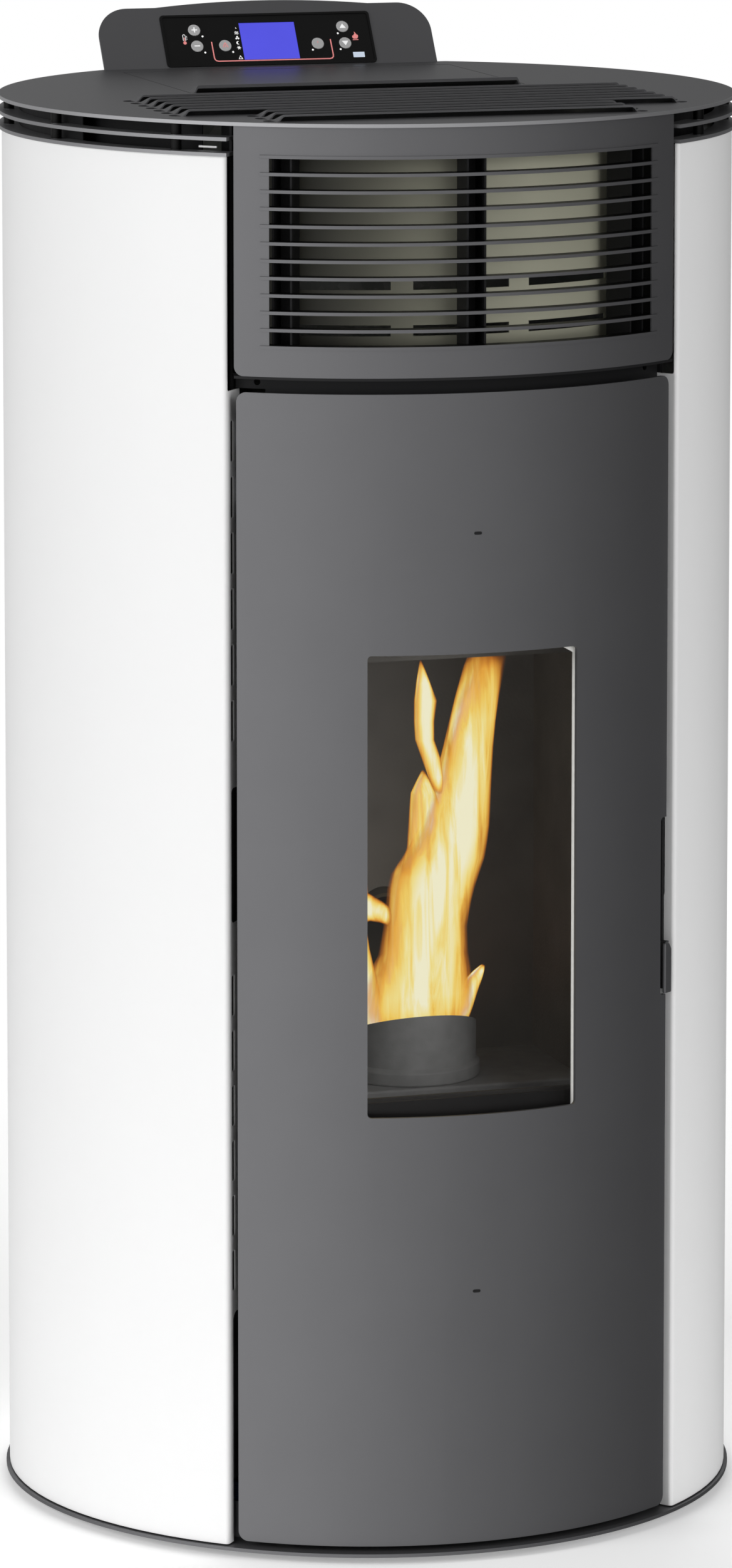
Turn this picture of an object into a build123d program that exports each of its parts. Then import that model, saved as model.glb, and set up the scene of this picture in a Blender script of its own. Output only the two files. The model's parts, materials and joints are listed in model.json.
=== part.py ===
from build123d import *
import os
from math import acos, asin, cos, degrees, radians, sin, sqrt

os.makedirs("parts", exist_ok=True)

# The stove stands on z = 0, its axis is the Z axis and its front faces -Y.
# Angles are measured from the front centre, positive towards the right (+X).

# ------------------------------------------------------------- cabinet sizes
BODY_R = 280.0            # base disc, top plate and trim rings
DISC_T = 2.7              # their sheet
BACK_Y = BODY_R - 38.0    # flat cut across their back
FOOT_H = 6.0              # foot pads below the base disc
TOP_Z = 1071.6            # upper face of the top plate
RING_PITCH = 11.4         # top plate to first ring to second ring
RING_W = 16.0             # radial width of a trim ring
RING_BAR_W = 12.0         # straight bar of a ring along the back
RING_START = 38.6         # the rings stop beside the grille panel
SPACER_R = 4.0
SPACER_ANGLES = (48.0, 75.0, 102.0, 129.0)
BASE_Z = FOOT_H
BASE_TOP = BASE_Z + DISC_T
TOP_UNDER = TOP_Z - DISC_T
CABINET_TOP = TOP_UNDER - 2 * RING_PITCH

FOOT_ANGLE = 40.0         # feet, from the front and from the back centre
FOOT_CIRCLE = BODY_R - 35.0
FOOT_PAD_R = 12.0
FOOT_STUD_R = 5.0
FOOT_STUD_TOP = 50.0
BUSH_R = 7.5
BUSH_TOP = 36.0
BUSH_FIT = 0.05

# ----------------------------------------------------- side and rear panels
PANEL_R = BODY_R - 2.7    # outer face of the white side panels
PANEL_T = 1.2
PANEL_BOTTOM = BASE_TOP + 1.1
PANEL_ANGLE = 39.0        # front fold
PANEL_FOLD_R = 3.0
FLANGE_D = 25.0           # front return, radial depth
SLOT_EDGE = 8.7           # slots start this far behind the panel face
SLOT_W = 5.5
SLOT_H = 31.1
SLOT_PITCH = 41.5
SLOT_COUNT = 6
UPPER_SLOT_TOP = 851.8
LOWER_SLOT_TOP = 438.9
LATCH_HOLE_Z = (477.7, 578.8)
FLANGE_TOP = 873.8
FLANGE_LOW = 184.3        # below this the return is cut back
FLANGE_LOW_D = 10.0
REAR_FLANGE_Y = BACK_Y - 2.6
REAR_PANEL_HALF = sqrt(PANEL_R ** 2 - REAR_FLANGE_Y ** 2) - 0.44
REAR_FLANGE_X = REAR_PANEL_HALF - 11.5
VENT_PITCH = 16.0         # air slots in the rear panel
VENT_ROWS = 8
VENT_BOTTOM = 330.0
VENT_X = 62.0
VENT_HALF = (40.0, 3.0)

# -------------------------------------------------------------- frame posts
POST_T = 2.0
POST_R = (BODY_R - 48.0, BODY_R - 18.0)
POST_LEG = 20.0
POST_NOTCH_R = FOOT_CIRCLE - 8.5  # cut away round the foot bush
REAR_POST_X = REAR_FLANGE_X - 1.0
REAR_POST_LEG = 12.0
REAR_POST_Y = BACK_Y - 26.0

# --------------------------------------------------------------------- door
DOOR_R = BODY_R - 6.0
DOOR_T = 2.7
DOOR_ANGLE = 37.6
DOOR_Z = (13.0, 873.8)
DOOR_CORNER = 7.5
NOTCH_ANGLE = 36.1        # right edge beside the handle
NOTCH_Z = (406.0, 541.0)
WINDOW_ANGLE = 17.15
WINDOW_Z = (337.0, 681.5)
WINDOW_CORNER = 3.0
GLASS_T = 4.0
GLASS_ANGLE = 20.0
GLASS_MARGIN = 8.0
STRIP_T = 4.5             # fibre strip between the skin and the glass
STRIP_START = 17.3
TRAY_HALF = 124.0         # inner frame pressing
TRAY_Z = (193.0, 713.0)
TRAY_T = 2.0
TRAY_BACK_Y = 34.0 - DOOR_R
TRAY_WINDOW_HALF = 97.0
TRAY_WINDOW_Z = (343.0, 688.0)
RETAINER_REACH = 13.0     # the glass retainers stand this far inside the opening
RETAINER_Z = (350.0, 680.0)
SKIN_FIT = 0.05
SEAL_W = 11.4
SEAL_FIT = 0.3
SEAL_HALF = 118.0         # centre line of the rope, from the stove's axis
SEAL_Z = (203.0, 703.0)
SEAL_CORNER = 14.0

HINGE_R = DOOR_R - 9.5    # pin circle and angle
HINGE_ANGLE = -36.6
HINGE_Z = (90.0, 790.0)
HINGE_H = 60.0
HINGE_EAR = 18.0
KNUCKLE_R = 5.0
PIN_R = 3.0
PIN_FIT = 0.08
KNUCKLE_GAP = 0.3
LEAF_T = 3.0
LEAF_R = (HINGE_R - 30.5, HINGE_R - 13.0)
LEAF_ANGLE = 7.0          # reach of the door leaf behind the skin

HANDLE_ANGLE = 38.0
HANDLE_PIVOT_R = DOOR_R - 12.0
HANDLE_PIVOT_Z = 536.0
HANDLE_HUB_R = 8.0
HANDLE_T = 3.0
HANDLE_GRIP_T = 5.6
HANDLE_GRIP_Z = (406.8, 445.0)
HANDLE_GRIP_R = (DOOR_R - 8.0, DOOR_R + 6.0)
HANDLE_PIN_R = 3.0
STRIKER_R = DOOR_R - 33.0
STRIKER_ROLLER_R = 4.0

# ------------------------------------------------------------------- grille
GRILLE_R = BODY_R - 3.0
GRILLE_T = 1.2
GRILLE_ANGLE = 37.7
GRILLE_BOTTOM = 886.0
GRILLE_CORNER = 7.0
GRILLE_OPEN_ANGLE = 32.1
GRILLE_OPEN_Z = (901.5, 1053.5)
SLAT_COUNT = 12
SLAT_TOP = 1048.0
SLAT_PITCH = 12.65
SLAT_T = 2.4
SLAT_D = 12.0
SLAT_PROUD = 0.8
SLAT_ANGLE = 33.5
SLAT_FIT = 0.1
COMB_ANGLES = (-30.5, 0.0, 30.5)
COMB_W = 15.0
COMB_T = 1.5
COMB_R = (GRILLE_R - 31.0, GRILLE_R - 8.0)
DUCT_R = GRILLE_R - 40.8
DUCT_ANGLE = 38.3
DUCT_SLOT_ROWS = (946.0, 912.0)
DUCT_SLOT_ANGLES = (-22.0, 0.0, 22.0)
DUCT_SLOT_SPAN = 9.0
DUCT_SLOT_H = 8.0
RAIL_R = GRILLE_R - 17.0
RAIL_T = 2.0
RAIL_ANGLE = 39.2
RAIL_BOTTOM = 866.0
RAIL_RELIEF_ANGLE = 33.8  # beside the hinges the rail clears the swinging edge of the door
RAIL_HOLE_ANGLE = 35.2
RAIL_HOLE_R = 2.5
RAIL_HOLE_UP = 14.0

# ---------------------------------------------------------------- top plate
LOUVRE_FRONT = -40.0
LOUVRE_PITCH = 0.075 * BODY_R
LOUVRE_LONG = 7
LOUVRE_SHORT = 3
LOUVRE_LONG_HALF = BODY_R - 86.6
LOUVRE_SHORT_HALF = BODY_R / 2
LOUVRE_RAMP = 7.4
LOUVRE_H = 4.9
LOUVRE_T = 1.4
LOUVRE_D = 14.5
LOUVRE_SLOT = 13.5
LOUVRE_SLOT_OVER = 7.6

# ------------------------------------------------------------- hopper, lid
LID_HALF = 133.0
LID_Y = (21.0, BACK_Y - 32.0)
LID_GAP = 0.8
LID_LIP_HALF = 131.0
LID_LIP_RAMP = 4.5
LID_LIP_H = 5.6
LID_LIP_T = 2.4
LID_LIP_D = 17.0
LID_AXIS_Y = BACK_Y - 36.0
LID_AXIS_DROP = 6.0
LID_PIN_R = 2.5
LID_PIN_FIT = 0.1
LUG_T = 3.0
LUG_R = 5.0
HOPPER_HALF = 125.0
HOPPER_Y = (28.0, BACK_Y - 45.0)
HOPPER_T = 1.5
HOPPER_TAPER_Z = 760.0
HOPPER_FLANGE = 13.0
HOPPER_FLANGE_T = 2.0
THROAT_HALF = (25.0, 20.0)
THROAT_Y = 130.0
THROAT_TOP = 470.0
THROAT_LOW = 397.0
GRID_Z = 1000.0
GRID_T = 4.0
GRID_BARS = 6

# -------------------------------------------------------------------- auger
AUGER_R = 30.0            # tube, outer
AUGER_T = 3.0
AUGER_FOOT = (0.0, 165.0, 363.0)
AUGER_LEN = 226.0
SCREW_R = 25.0
SCREW_SHAFT_R = 7.0
SCREW_PITCH = 50.0
SCREW_FLIGHT_T = 4.0
SCREW_TURNS = 3.75
SCREW_START = 12.0
SHAFT_FIT = 0.08
SHAFT_TAIL = 25.0         # shaft inside the gearbox
GEARBOX = (54.0, 28.0)    # side and length
AUGER_MOTOR = (22.0, 22.0)
CHUTE_R = 25.0
CHUTE_T = 2.0
CHUTE_END_Y = -46.0
CHUTE_FIT = 0.3

# ------------------------------------------------------------------ firebox
FIREBOX_HALF = 131.0
FIREBOX_T = 3.0
FIREBOX_Y = (TRAY_BACK_Y + 14.0, -32.0)
FIREBOX_Z = (211.0, 706.0)
FLANGE_FACE_Z = (192.0, 714.0)
FIRE_HALF = FIREBOX_HALF - 25.0   # openings in the front face
FIRE_Z = (343.0, 690.0)
ASH_Z = (214.0, 318.0)
LINER_T = 7.0
HEARTH_Z = 333.5
HEARTH_T = 7.0
HEARTH_FRONT = FIREBOX_Y[0] + 63.0
POT_Y = -107.0
POT_R = 51.0
POT_WALL = 4.0
POT_RIM_Z = 368.0
POT_RIM_SLOPE = 0.38
POT_BASE_R = 54.0
POT_BASE_H = 10.0
POT_SPIGOT_R = 42.5
POT_SPIGOT_DROP = 14.0
POT_FIT = 0.3
POT_HOLE_R = 3.0
CRADLE_T = 3.0
CRADLE_BOTTOM = 304.0
BAFFLE_Z = 660.0
BAFFLE_T = 12.0
BAFFLE_FRONT = FIREBOX_Y[0] + 61.0
PLINTH_HALF = FIREBOX_HALF - 6.0
PLINTH_Y = (FIREBOX_Y[0] + 11.0, FIREBOX_Y[1] - 8.0)
PLINTH_OPENING = (110.0, 100.0, 12.0)
PLINTH_T = 2.0
ASH_HALF = FIREBOX_HALF - 27.0
ASH_DEPTH = (FIREBOX_Y[0] + 4.0, FIREBOX_Y[1] - 20.0)
ASH_SHEET = 1.5
ASH_LIP_HALF = 35.0
IGNITER_R = 5.0
IGNITER_COLLAR_R = 9.0
IGNITER_DROP = 11.0
ASH_TOP = 300.0
EXCHANGER_TOP = 864.0
TUBE_R = 16.0
TUBE_T = 2.0
TUBE_X = (-105.0, -63.0, -21.0, 21.0, 63.0)
TUBE_Z = (762.0, 816.0)

# --------------------------------------------------------- air and flue gas
FLUE_DUCT_X = (105.0, 131.0)
FLUE_DUCT_T = 1.5
FLUE_DUCT_D = 54.0
FLUE_DUCT_Z = (100.0, 800.0)
FLUE_PORT_Z = (735.0, 790.0)
FLUE_FAN = (90.0, 160.0)  # wheel axis, y and z
FLUE_FAN_R = 72.0
FLUE_FAN_X = (35.0, 105.0)
FLUE_BOOT_REACH = 45.0    # foot of the duct, past the wheel's axis
FLUE_BOOT_Z = (95.0, FLUE_FAN[1] + 65.0)
FLUE_EYE_R = 30.0
FLUE_OUTLET = 76.0        # from the wheel's axis to the outlet face
FLUE_WHEEL_R = 60.0
EXHAUST_R = 40.0
EXHAUST_T = 1.2
EXHAUST_END_Y = BACK_Y + 38.0
AIR_PIPE_R = 25.0
AIR_PIPE_X = -75.0
AIR_PIPE_Z = 250.0
AIR_PIPE_END_Y = BACK_Y + 20.0
ROOM_FAN = (110.0, 80.0)
ROOM_FAN_R = 62.0
ROOM_FAN_X = (-115.0, -45.0)
ROOM_WHEEL_R = 50.0
ROOM_EYE_R = 32.0
ROOM_OUTLET_Y = -32.0     # middle of the outlet, from the wheel's axis
ROOM_OUTLET_W = 60.0
ROOM_OUTLET_H = 120.0
FLUE_MOTOR = (34.0, 50.0)  # radius and length
ROOM_MOTOR = (28.0, 38.0)
FAN_HUB = (12.0, 16.0)
FAN_LEG_T = 3.0
FAN_T = 2.0
FAN_SHAFT_R = 4.0
BLADE_COUNT = 12
PIPE_FIT = 0.6
COLLAR_T = 3.0            # stop collar of a pipe outside the rear panel
COLLAR_H = 3.5

# ------------------------------------------------------------ control panel
CONTROL_Y = BACK_Y - 3.0
CONTROL_LEAN = 33.3
CONTROL_T = 2.0
CONTROL_X = (-141.0, 133.0)
CONTROL_SIDE = 29.0       # straight part of the sides, along the slope
CONTROL_SHOULDER = 54.5
CONTROL_PEAK = 59.3
CONTROL_HUMP_HALF = 88.0
CONTROL_SKIRT = 36.0
BEZEL_X = (-89.7, 83.0)
BEZEL_S = (0.6, 47.0)
BEZEL_PROUD = 1.0
BEZEL_STEP = 1.8
BEZEL_FACE = 0.3
BEZEL_PLUG_IN = 3.7
BEZEL_DEPTH = 5.0
SCREEN_X = (-25.7, 20.2)
SCREEN_S = (5.9, 39.2)
SCREEN_FIT = 0.1
COVER_DEPTH = 14.0
COVER_T = 1.6
BUTTON_R = 5.0
BUTTON_FIT = 0.1
BUTTON_FRONT = 0.9
BUTTON_BACK = 6.0
BUTTON_TRAVEL = 1.0
BUTTONS = {
    "button_plus": (-63.0, 33.4),
    "button_minus": (-62.7, 19.0),
    "button_heat": (-39.7, 18.9),
    "button_power": (36.7, 18.9),
    "button_up": (59.4, 33.6),
    "button_down": (59.4, 18.7),
}

INLET_X = -96.0
INLET_Z = 60.0
INLET_W = 30.0
INLET_H = 60.0
INLET_D = 26.0
ROCKER_W = 13.0
ROCKER_H = 19.0
ROCKER_UP = 14.0          # middle of the rocker, above the middle of the inlet
ROCKER_PIN_R = 1.2


# ------------------------------------------------------------------ helpers
def polar(radius, angle, z=0.0):
    """Point on a circle round the stove's axis."""
    turn = radians(angle - 90.0)
    return Vector(radius * cos(turn), radius * sin(turn), z)


def radial_frame(angle, z=0.0):
    """Plane with x outwards, y towards larger angles and z up."""
    return Plane(origin=(0, 0, z), x_dir=polar(1.0, angle), z_dir=(0, 0, 1))


def upright_frame(angle):
    """Plane with x outwards and y up, seen along the circle."""
    return Plane(origin=(0, 0, 0), x_dir=polar(1.0, angle), z_dir=-polar(1.0, angle + 90.0))


def sector(r_in, r_out, start, end):
    """Flat ring sector between two angles."""
    outer = CenterArc((0, 0), r_out, start - 90.0, end - start)
    inner = CenterArc((0, 0), r_in, start - 90.0, end - start)
    return make_face([outer, Line(outer @ 1, inner @ 1), inner, Line(inner @ 0, outer @ 0)])


def curved_plate(r_in, r_out, start, end, z0, z1, corner=0.0):
    """Upright sheet bent round the stove's axis, with rounded corners."""
    plate = extrude(Pos(0, 0, z0) * sector(r_in, r_out, start, end), z1 - z0)
    if corner > 0:
        limit = 1.01 * (r_out - r_in)
        corners = [e for e in plate.edges().filter_by(GeomType.LINE) if e.length < limit]
        plate = fillet(corners, corner)
    return plate


def slab(x, y, z):
    """Box between pairs of limits."""
    size = (x[1] - x[0], y[1] - y[0], z[1] - z[0])
    middle = ((x[0] + x[1]) / 2, (y[0] + y[1]) / 2, (z[0] + z[1]) / 2)
    return Pos(*middle) * Box(*size)


def rod(radius, start, end):
    """Cylinder between two points."""
    start, end = Vector(start), Vector(end)
    return Solid.make_cylinder(radius, (end - start).length, Plane(start, z_dir=end - start))


def chord_disc(radius, z, thickness):
    """Disc with its back cut off flat."""
    disc = Pos(0, 0, z) * extrude(Circle(radius), thickness)
    return disc - slab((-radius, radius), (BACK_Y, radius + 1), (z - 1, z + thickness + 1))


def rounded_prism(x, z, y, corner):
    """Block along Y whose outline in X and Z has rounded corners."""
    middle = ((x[0] + x[1]) / 2, (z[0] + z[1]) / 2)
    outline = Pos(*middle) * RectangleRounded(x[1] - x[0], z[1] - z[0], corner)
    return extrude(Plane((0, y[1], 0), x_dir=(1, 0, 0), z_dir=(0, -1, 0)) * outline, y[1] - y[0])


def save(name, shape):
    """Write one sub-part as its own file."""
    export_step(shape, "parts/" + name + ".step")


# ----------------------------------------------------------- base and feet
def foot_points():
    """Centres of the four feet."""
    angles = (FOOT_ANGLE, 180 - FOOT_ANGLE, 180 + FOOT_ANGLE, -FOOT_ANGLE)
    return [polar(FOOT_CIRCLE, angle) for angle in angles]


def base_plate():
    """Base disc with a threaded bush welded over each foot."""
    plate = chord_disc(BODY_R, BASE_Z, DISC_T)
    for point in foot_points():
        plate += Pos(point.X, point.Y, BASE_TOP) * extrude(Circle(BUSH_R), BUSH_TOP - BASE_TOP)
    for point in foot_points():
        bore = extrude(Circle(FOOT_STUD_R + BUSH_FIT), BUSH_TOP)
        plate -= Pos(point.X, point.Y, 1) * bore
    return plate


def levelling_feet():
    """Round pads, each on its stud."""
    pad = fillet(extrude(Circle(FOOT_PAD_R), FOOT_H).edges().group_by(Axis.Z)[0], 1.0)
    stud = extrude(Circle(FOOT_STUD_R), FOOT_STUD_TOP)
    foot = pad + stud
    return Compound([Pos(point.X, point.Y, 0) * foot for point in foot_points()])


# -------------------------------------------------------------- side panels
def flange_cutter(depth, z, corner):
    """Cutter through the front return, between two depths behind the panel face."""
    width, height = depth[1] - depth[0], z[1] - z[0]
    middle = (PANEL_R - (depth[0] + depth[1]) / 2, (z[0] + z[1]) / 2)
    outline = Pos(*middle) * RectangleRounded(width, height, corner)
    return extrude(upright_frame(PANEL_ANGLE) * outline, PANEL_T + 2, both=True)


def side_panel():
    """Right side panel: bent skin, slotted front return and rear return."""
    rear_angle = degrees(acos(-REAR_FLANGE_Y / PANEL_R))
    height = CABINET_TOP - PANEL_BOTTOM
    profile = sector(PANEL_R - PANEL_T, PANEL_R, PANEL_ANGLE, rear_angle)
    front = Pos(PANEL_R - FLANGE_D / 2 - PANEL_T / 2, PANEL_T / 2) * Rectangle(FLANGE_D, PANEL_T)
    profile += radial_frame(PANEL_ANGLE) * front
    rear_w = REAR_PANEL_HALF - REAR_FLANGE_X
    rear = Pos(REAR_FLANGE_X + rear_w / 2, REAR_FLANGE_Y - PANEL_T / 2) * Rectangle(rear_w, PANEL_T)
    profile += rear
    panel = extrude(Pos(0, 0, PANEL_BOTTOM) * profile, height)
    outer = panel.edges().filter_by(Axis.Z).sort_by_distance(polar(PANEL_R, PANEL_ANGLE, 500))[0]
    panel = fillet(outer, PANEL_FOLD_R)
    inside = FLANGE_D + 5.0
    for top in (UPPER_SLOT_TOP, LOWER_SLOT_TOP):
        for index in range(SLOT_COUNT):
            z = top - index * SLOT_PITCH
            panel -= flange_cutter((SLOT_EDGE, SLOT_EDGE + SLOT_W), (z - SLOT_H, z), SLOT_W / 2.5)
    panel -= flange_cutter((SLOT_EDGE, inside), LATCH_HOLE_Z, 4.0)
    panel -= flange_cutter((FLANGE_LOW_D, inside), (PANEL_BOTTOM - 20, FLANGE_LOW), 7.0)
    top_cut = (FLANGE_TOP, CABINET_TOP + 20)
    return panel - flange_cutter((PANEL_FOLD_R, inside), top_cut, 2.0)


def rear_panel():
    """Flat back with pipe holes, inlet hole and air slots."""
    panel = slab((-REAR_PANEL_HALF, REAR_PANEL_HALF), (REAR_FLANGE_Y, REAR_FLANGE_Y + PANEL_T),
                 (PANEL_BOTTOM, CABINET_TOP))
    y0, y1 = REAR_FLANGE_Y - 5, REAR_FLANGE_Y + 5
    exhaust_x, exhaust_z = exhaust_centre()
    panel -= rod(EXHAUST_R + PIPE_FIT, (exhaust_x, y0, exhaust_z), (exhaust_x, y1, exhaust_z))
    panel -= rod(AIR_PIPE_R + PIPE_FIT, (AIR_PIPE_X, y0, AIR_PIPE_Z), (AIR_PIPE_X, y1, AIR_PIPE_Z))
    panel -= slab((INLET_X - INLET_W / 2, INLET_X + INLET_W / 2), (y0, y1),
                  (INLET_Z - INLET_H / 2, INLET_Z + INLET_H / 2))
    half_w, half_h = VENT_HALF
    slot = rounded_prism((-half_w, half_w), (-half_h, half_h), (y0, y1), half_h - 0.1)
    rows = [VENT_BOTTOM + row * VENT_PITCH for row in range(VENT_ROWS)]
    return panel - [Pos(column, 0, z) * slot for z in rows for column in (-VENT_X, VENT_X)]


def frame_posts():
    """Four angle posts between the base disc and the top plate."""
    z = (BASE_TOP, TOP_UNDER)
    web = slab(POST_R, (PANEL_T, PANEL_T + POST_T), z)
    leg = slab((POST_R[0], POST_R[0] + POST_T), (PANEL_T, PANEL_T + POST_LEG), z)
    notch = slab((POST_NOTCH_R, POST_R[1] + 1), (0, POST_LEG), (0, FOOT_STUD_TOP + 6))
    front = radial_frame(PANEL_ANGLE) * (web + leg - notch)
    rear_face = REAR_FLANGE_Y - PANEL_T
    z = (BASE_TOP, CABINET_TOP)
    rear = slab((REAR_POST_X - POST_T, REAR_POST_X), (REAR_POST_Y, rear_face), z)
    rear += slab((REAR_POST_X - REAR_POST_LEG, REAR_POST_X), (rear_face - POST_T, rear_face), z)
    return Compound([front, mirror(front, Plane.YZ), rear, mirror(rear, Plane.YZ)])


# ---------------------------------------------------------- top plate, rings
def louvre_hood(half, ramp, height, depth, sheet):
    """Pressed hood, open to the front at y = 0, on a plate whose face is z = 0."""
    low = -3 * sheet

    def solid(drop):
        edge = Polyline((-half, low), (half, low), (half, -drop))
        right = Bezier((half, -drop), (half - ramp / 2, -drop),
                       (half - ramp / 2, height - drop), (half - ramp, height - drop))
        crest = Line((half - ramp, height - drop), (ramp - half, height - drop))
        left = Bezier((ramp - half, height - drop), (ramp / 2 - half, height - drop),
                      (ramp / 2 - half, -drop), (-half, -drop))
        close = Line((-half, -drop), (-half, low))
        across = make_face([*edge.edges(), right, crest, left, close])
        prism = extrude(Plane.XZ * across, -depth - 1)
        along = Polyline((0, low), (0, height - drop), (2, height - drop), (depth, -drop),
                         (depth + 1, -drop), (depth + 1, low), close=True)
        wedge = extrude(Plane.YZ * make_face(along.edges()), half + 1, both=True)
        return prism & wedge

    return solid(0.0) - solid(sheet)


def louvre_rows():
    """Front edge and half width of each louvre in the top plate."""
    for index in range(LOUVRE_LONG + LOUVRE_SHORT):
        half = LOUVRE_LONG_HALF if index < LOUVRE_LONG else LOUVRE_SHORT_HALF
        yield LOUVRE_FRONT - index * LOUVRE_PITCH, half


def top_plate():
    """Top disc with ten louvres and the opening for the hopper lid."""
    plate = chord_disc(BODY_R, TOP_UNDER, DISC_T)
    edge = LID_HALF + LID_GAP
    rear = LID_AXIS_Y + 7.5
    plate -= slab((-edge, edge), (LID_Y[0] - LID_GAP, rear), (TOP_UNDER - 1, TOP_Z + 1))
    hoods = []
    slots = []
    for front, half in louvre_rows():
        hood = louvre_hood(half, LOUVRE_RAMP, LOUVRE_H, LOUVRE_D, LOUVRE_T)
        hoods.append(Pos(0, front, TOP_Z) * hood)
        slot = SlotOverall(2 * (half + LOUVRE_SLOT_OVER), LOUVRE_SLOT)
        middle = front + LOUVRE_SLOT / 2
        slots.append(Pos(0, middle, TOP_UNDER - 1) * extrude(slot, DISC_T + 2))
    return plate - slots + hoods


def trim_rings():
    """Two rings under the top plate, held apart by short spacers."""
    rings = []
    for level in (1, 2):
        z = TOP_UNDER - level * RING_PITCH
        flat = sector(BODY_R - RING_W, BODY_R, RING_START, 360 - RING_START)
        ring = extrude(Pos(0, 0, z) * flat, DISC_T)
        ring += slab((-BODY_R / 2, BODY_R / 2), (BACK_Y - RING_BAR_W, BACK_Y), (z, z + DISC_T))
        ring -= slab((-BODY_R, BODY_R), (BACK_Y, BODY_R + 1), (z - 1, z + DISC_T + 1))
        spacer = extrude(Circle(SPACER_R), RING_PITCH - DISC_T)
        for angle in SPACER_ANGLES:
            for side in (-1, 1):
                point = polar(BODY_R - RING_W / 2, side * angle, z + DISC_T)
                ring += Pos(point) * spacer
        rings.append(ring)
    return Compound(rings)


# ------------------------------------------------------------------- grille
def slat_tops():
    """Upper face of each slat."""
    return [SLAT_TOP - index * SLAT_PITCH for index in range(SLAT_COUNT)]


def grille_frame():
    """Curved panel with a wide opening whose sides are notched for the slats."""
    r_in = GRILLE_R - GRILLE_T
    frame = curved_plate(r_in, GRILLE_R, -GRILLE_ANGLE, GRILLE_ANGLE,
                         GRILLE_BOTTOM, TOP_UNDER + GRILLE_CORNER, GRILLE_CORNER)
    frame -= slab((-BODY_R, BODY_R), (-BODY_R, 0), (TOP_UNDER, TOP_UNDER + 20))
    cutter = curved_plate(r_in - 1, GRILLE_R + 1, -GRILLE_OPEN_ANGLE, GRILLE_OPEN_ANGLE,
                          *GRILLE_OPEN_Z)
    notch_angle = SLAT_ANGLE + degrees(asin(SLAT_FIT / GRILLE_R))
    notches = []
    for top in slat_tops():
        z = (top - SLAT_T - SLAT_FIT, top + SLAT_FIT)
        notches.append(curved_plate(r_in - 1, GRILLE_R + 1, -notch_angle, notch_angle, *z))
    return frame - cutter - notches


def grille_slats():
    """Twelve curved slats, one solid each."""
    r_out = GRILLE_R + SLAT_PROUD
    slats = []
    for top in slat_tops():
        slats.append(curved_plate(r_out - SLAT_D, r_out, -SLAT_ANGLE, SLAT_ANGLE, top - SLAT_T, top))
    return Compound(slats)


def grille_brackets():
    """Three upright channels whose sides are combs that hold the slats."""
    brackets = []
    seat = GRILLE_R + SLAT_PROUD - SLAT_D - SLAT_FIT
    for angle in COMB_ANGLES:
        z = (GRILLE_BOTTOM, TOP_UNDER)
        channel = slab(COMB_R, (-COMB_W / 2, COMB_W / 2), z)
        channel -= slab((COMB_R[0] + COMB_T, COMB_R[1] + 1),
                        (COMB_T - COMB_W / 2, COMB_W / 2 - COMB_T), (z[0] - 1, z[1] + 1))
        channel = radial_frame(angle) * channel
        for top in slat_tops():
            channel -= curved_plate(seat, COMB_R[1] + 5, angle - 5, angle + 5,
                                    top - SLAT_T - SLAT_FIT, top + SLAT_FIT)
        brackets.append(channel)
    return Compound(brackets)


def warm_air_wall():
    """Galvanised wall behind the grille with rows of air slots."""
    wall = curved_plate(DUCT_R - PANEL_T, DUCT_R, -DUCT_ANGLE, DUCT_ANGLE, GRILLE_BOTTOM, TOP_UNDER)
    for z in DUCT_SLOT_ROWS:
        for angle in DUCT_SLOT_ANGLES:
            span = (angle - DUCT_SLOT_SPAN, angle + DUCT_SLOT_SPAN)
            wall -= curved_plate(DUCT_R - 5, DUCT_R + 5, *span, z, z + DUCT_SLOT_H)
    return wall


def front_rail():
    """Rail over the door, with the shelf that carries the grille."""
    shelf = sector(DUCT_R - PANEL_T - 1, GRILLE_R, -RAIL_ANGLE, RAIL_ANGLE)
    shelf = extrude(Pos(0, 0, GRILLE_BOTTOM - RAIL_T) * shelf, RAIL_T)
    z = (GRILLE_BOTTOM - 5, GRILLE_BOTTOM + 5)
    shelf -= curved_plate(POST_R[1], BODY_R, GRILLE_ANGLE, RAIL_ANGLE + 2, *z)
    shelf -= curved_plate(POST_R[1], BODY_R, -RAIL_ANGLE - 2, -GRILLE_ANGLE, *z)
    web_angle = PANEL_ANGLE - 0.1
    web = curved_plate(RAIL_R - RAIL_T, RAIL_R, -web_angle, web_angle, RAIL_BOTTOM, GRILLE_BOTTOM)
    web -= curved_plate(RAIL_R - RAIL_T - 1, RAIL_R + 1, -PANEL_ANGLE - 2, -RAIL_RELIEF_ANGLE,
                        RAIL_BOTTOM - 1, DOOR_Z[1] + 1.2)
    z = RAIL_BOTTOM + RAIL_HOLE_UP
    for angle in (-RAIL_HOLE_ANGLE, RAIL_HOLE_ANGLE):
        web -= rod(RAIL_HOLE_R, polar(RAIL_R - 10, angle, z), polar(RAIL_R + 5, angle, z))
    return shelf + web


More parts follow.
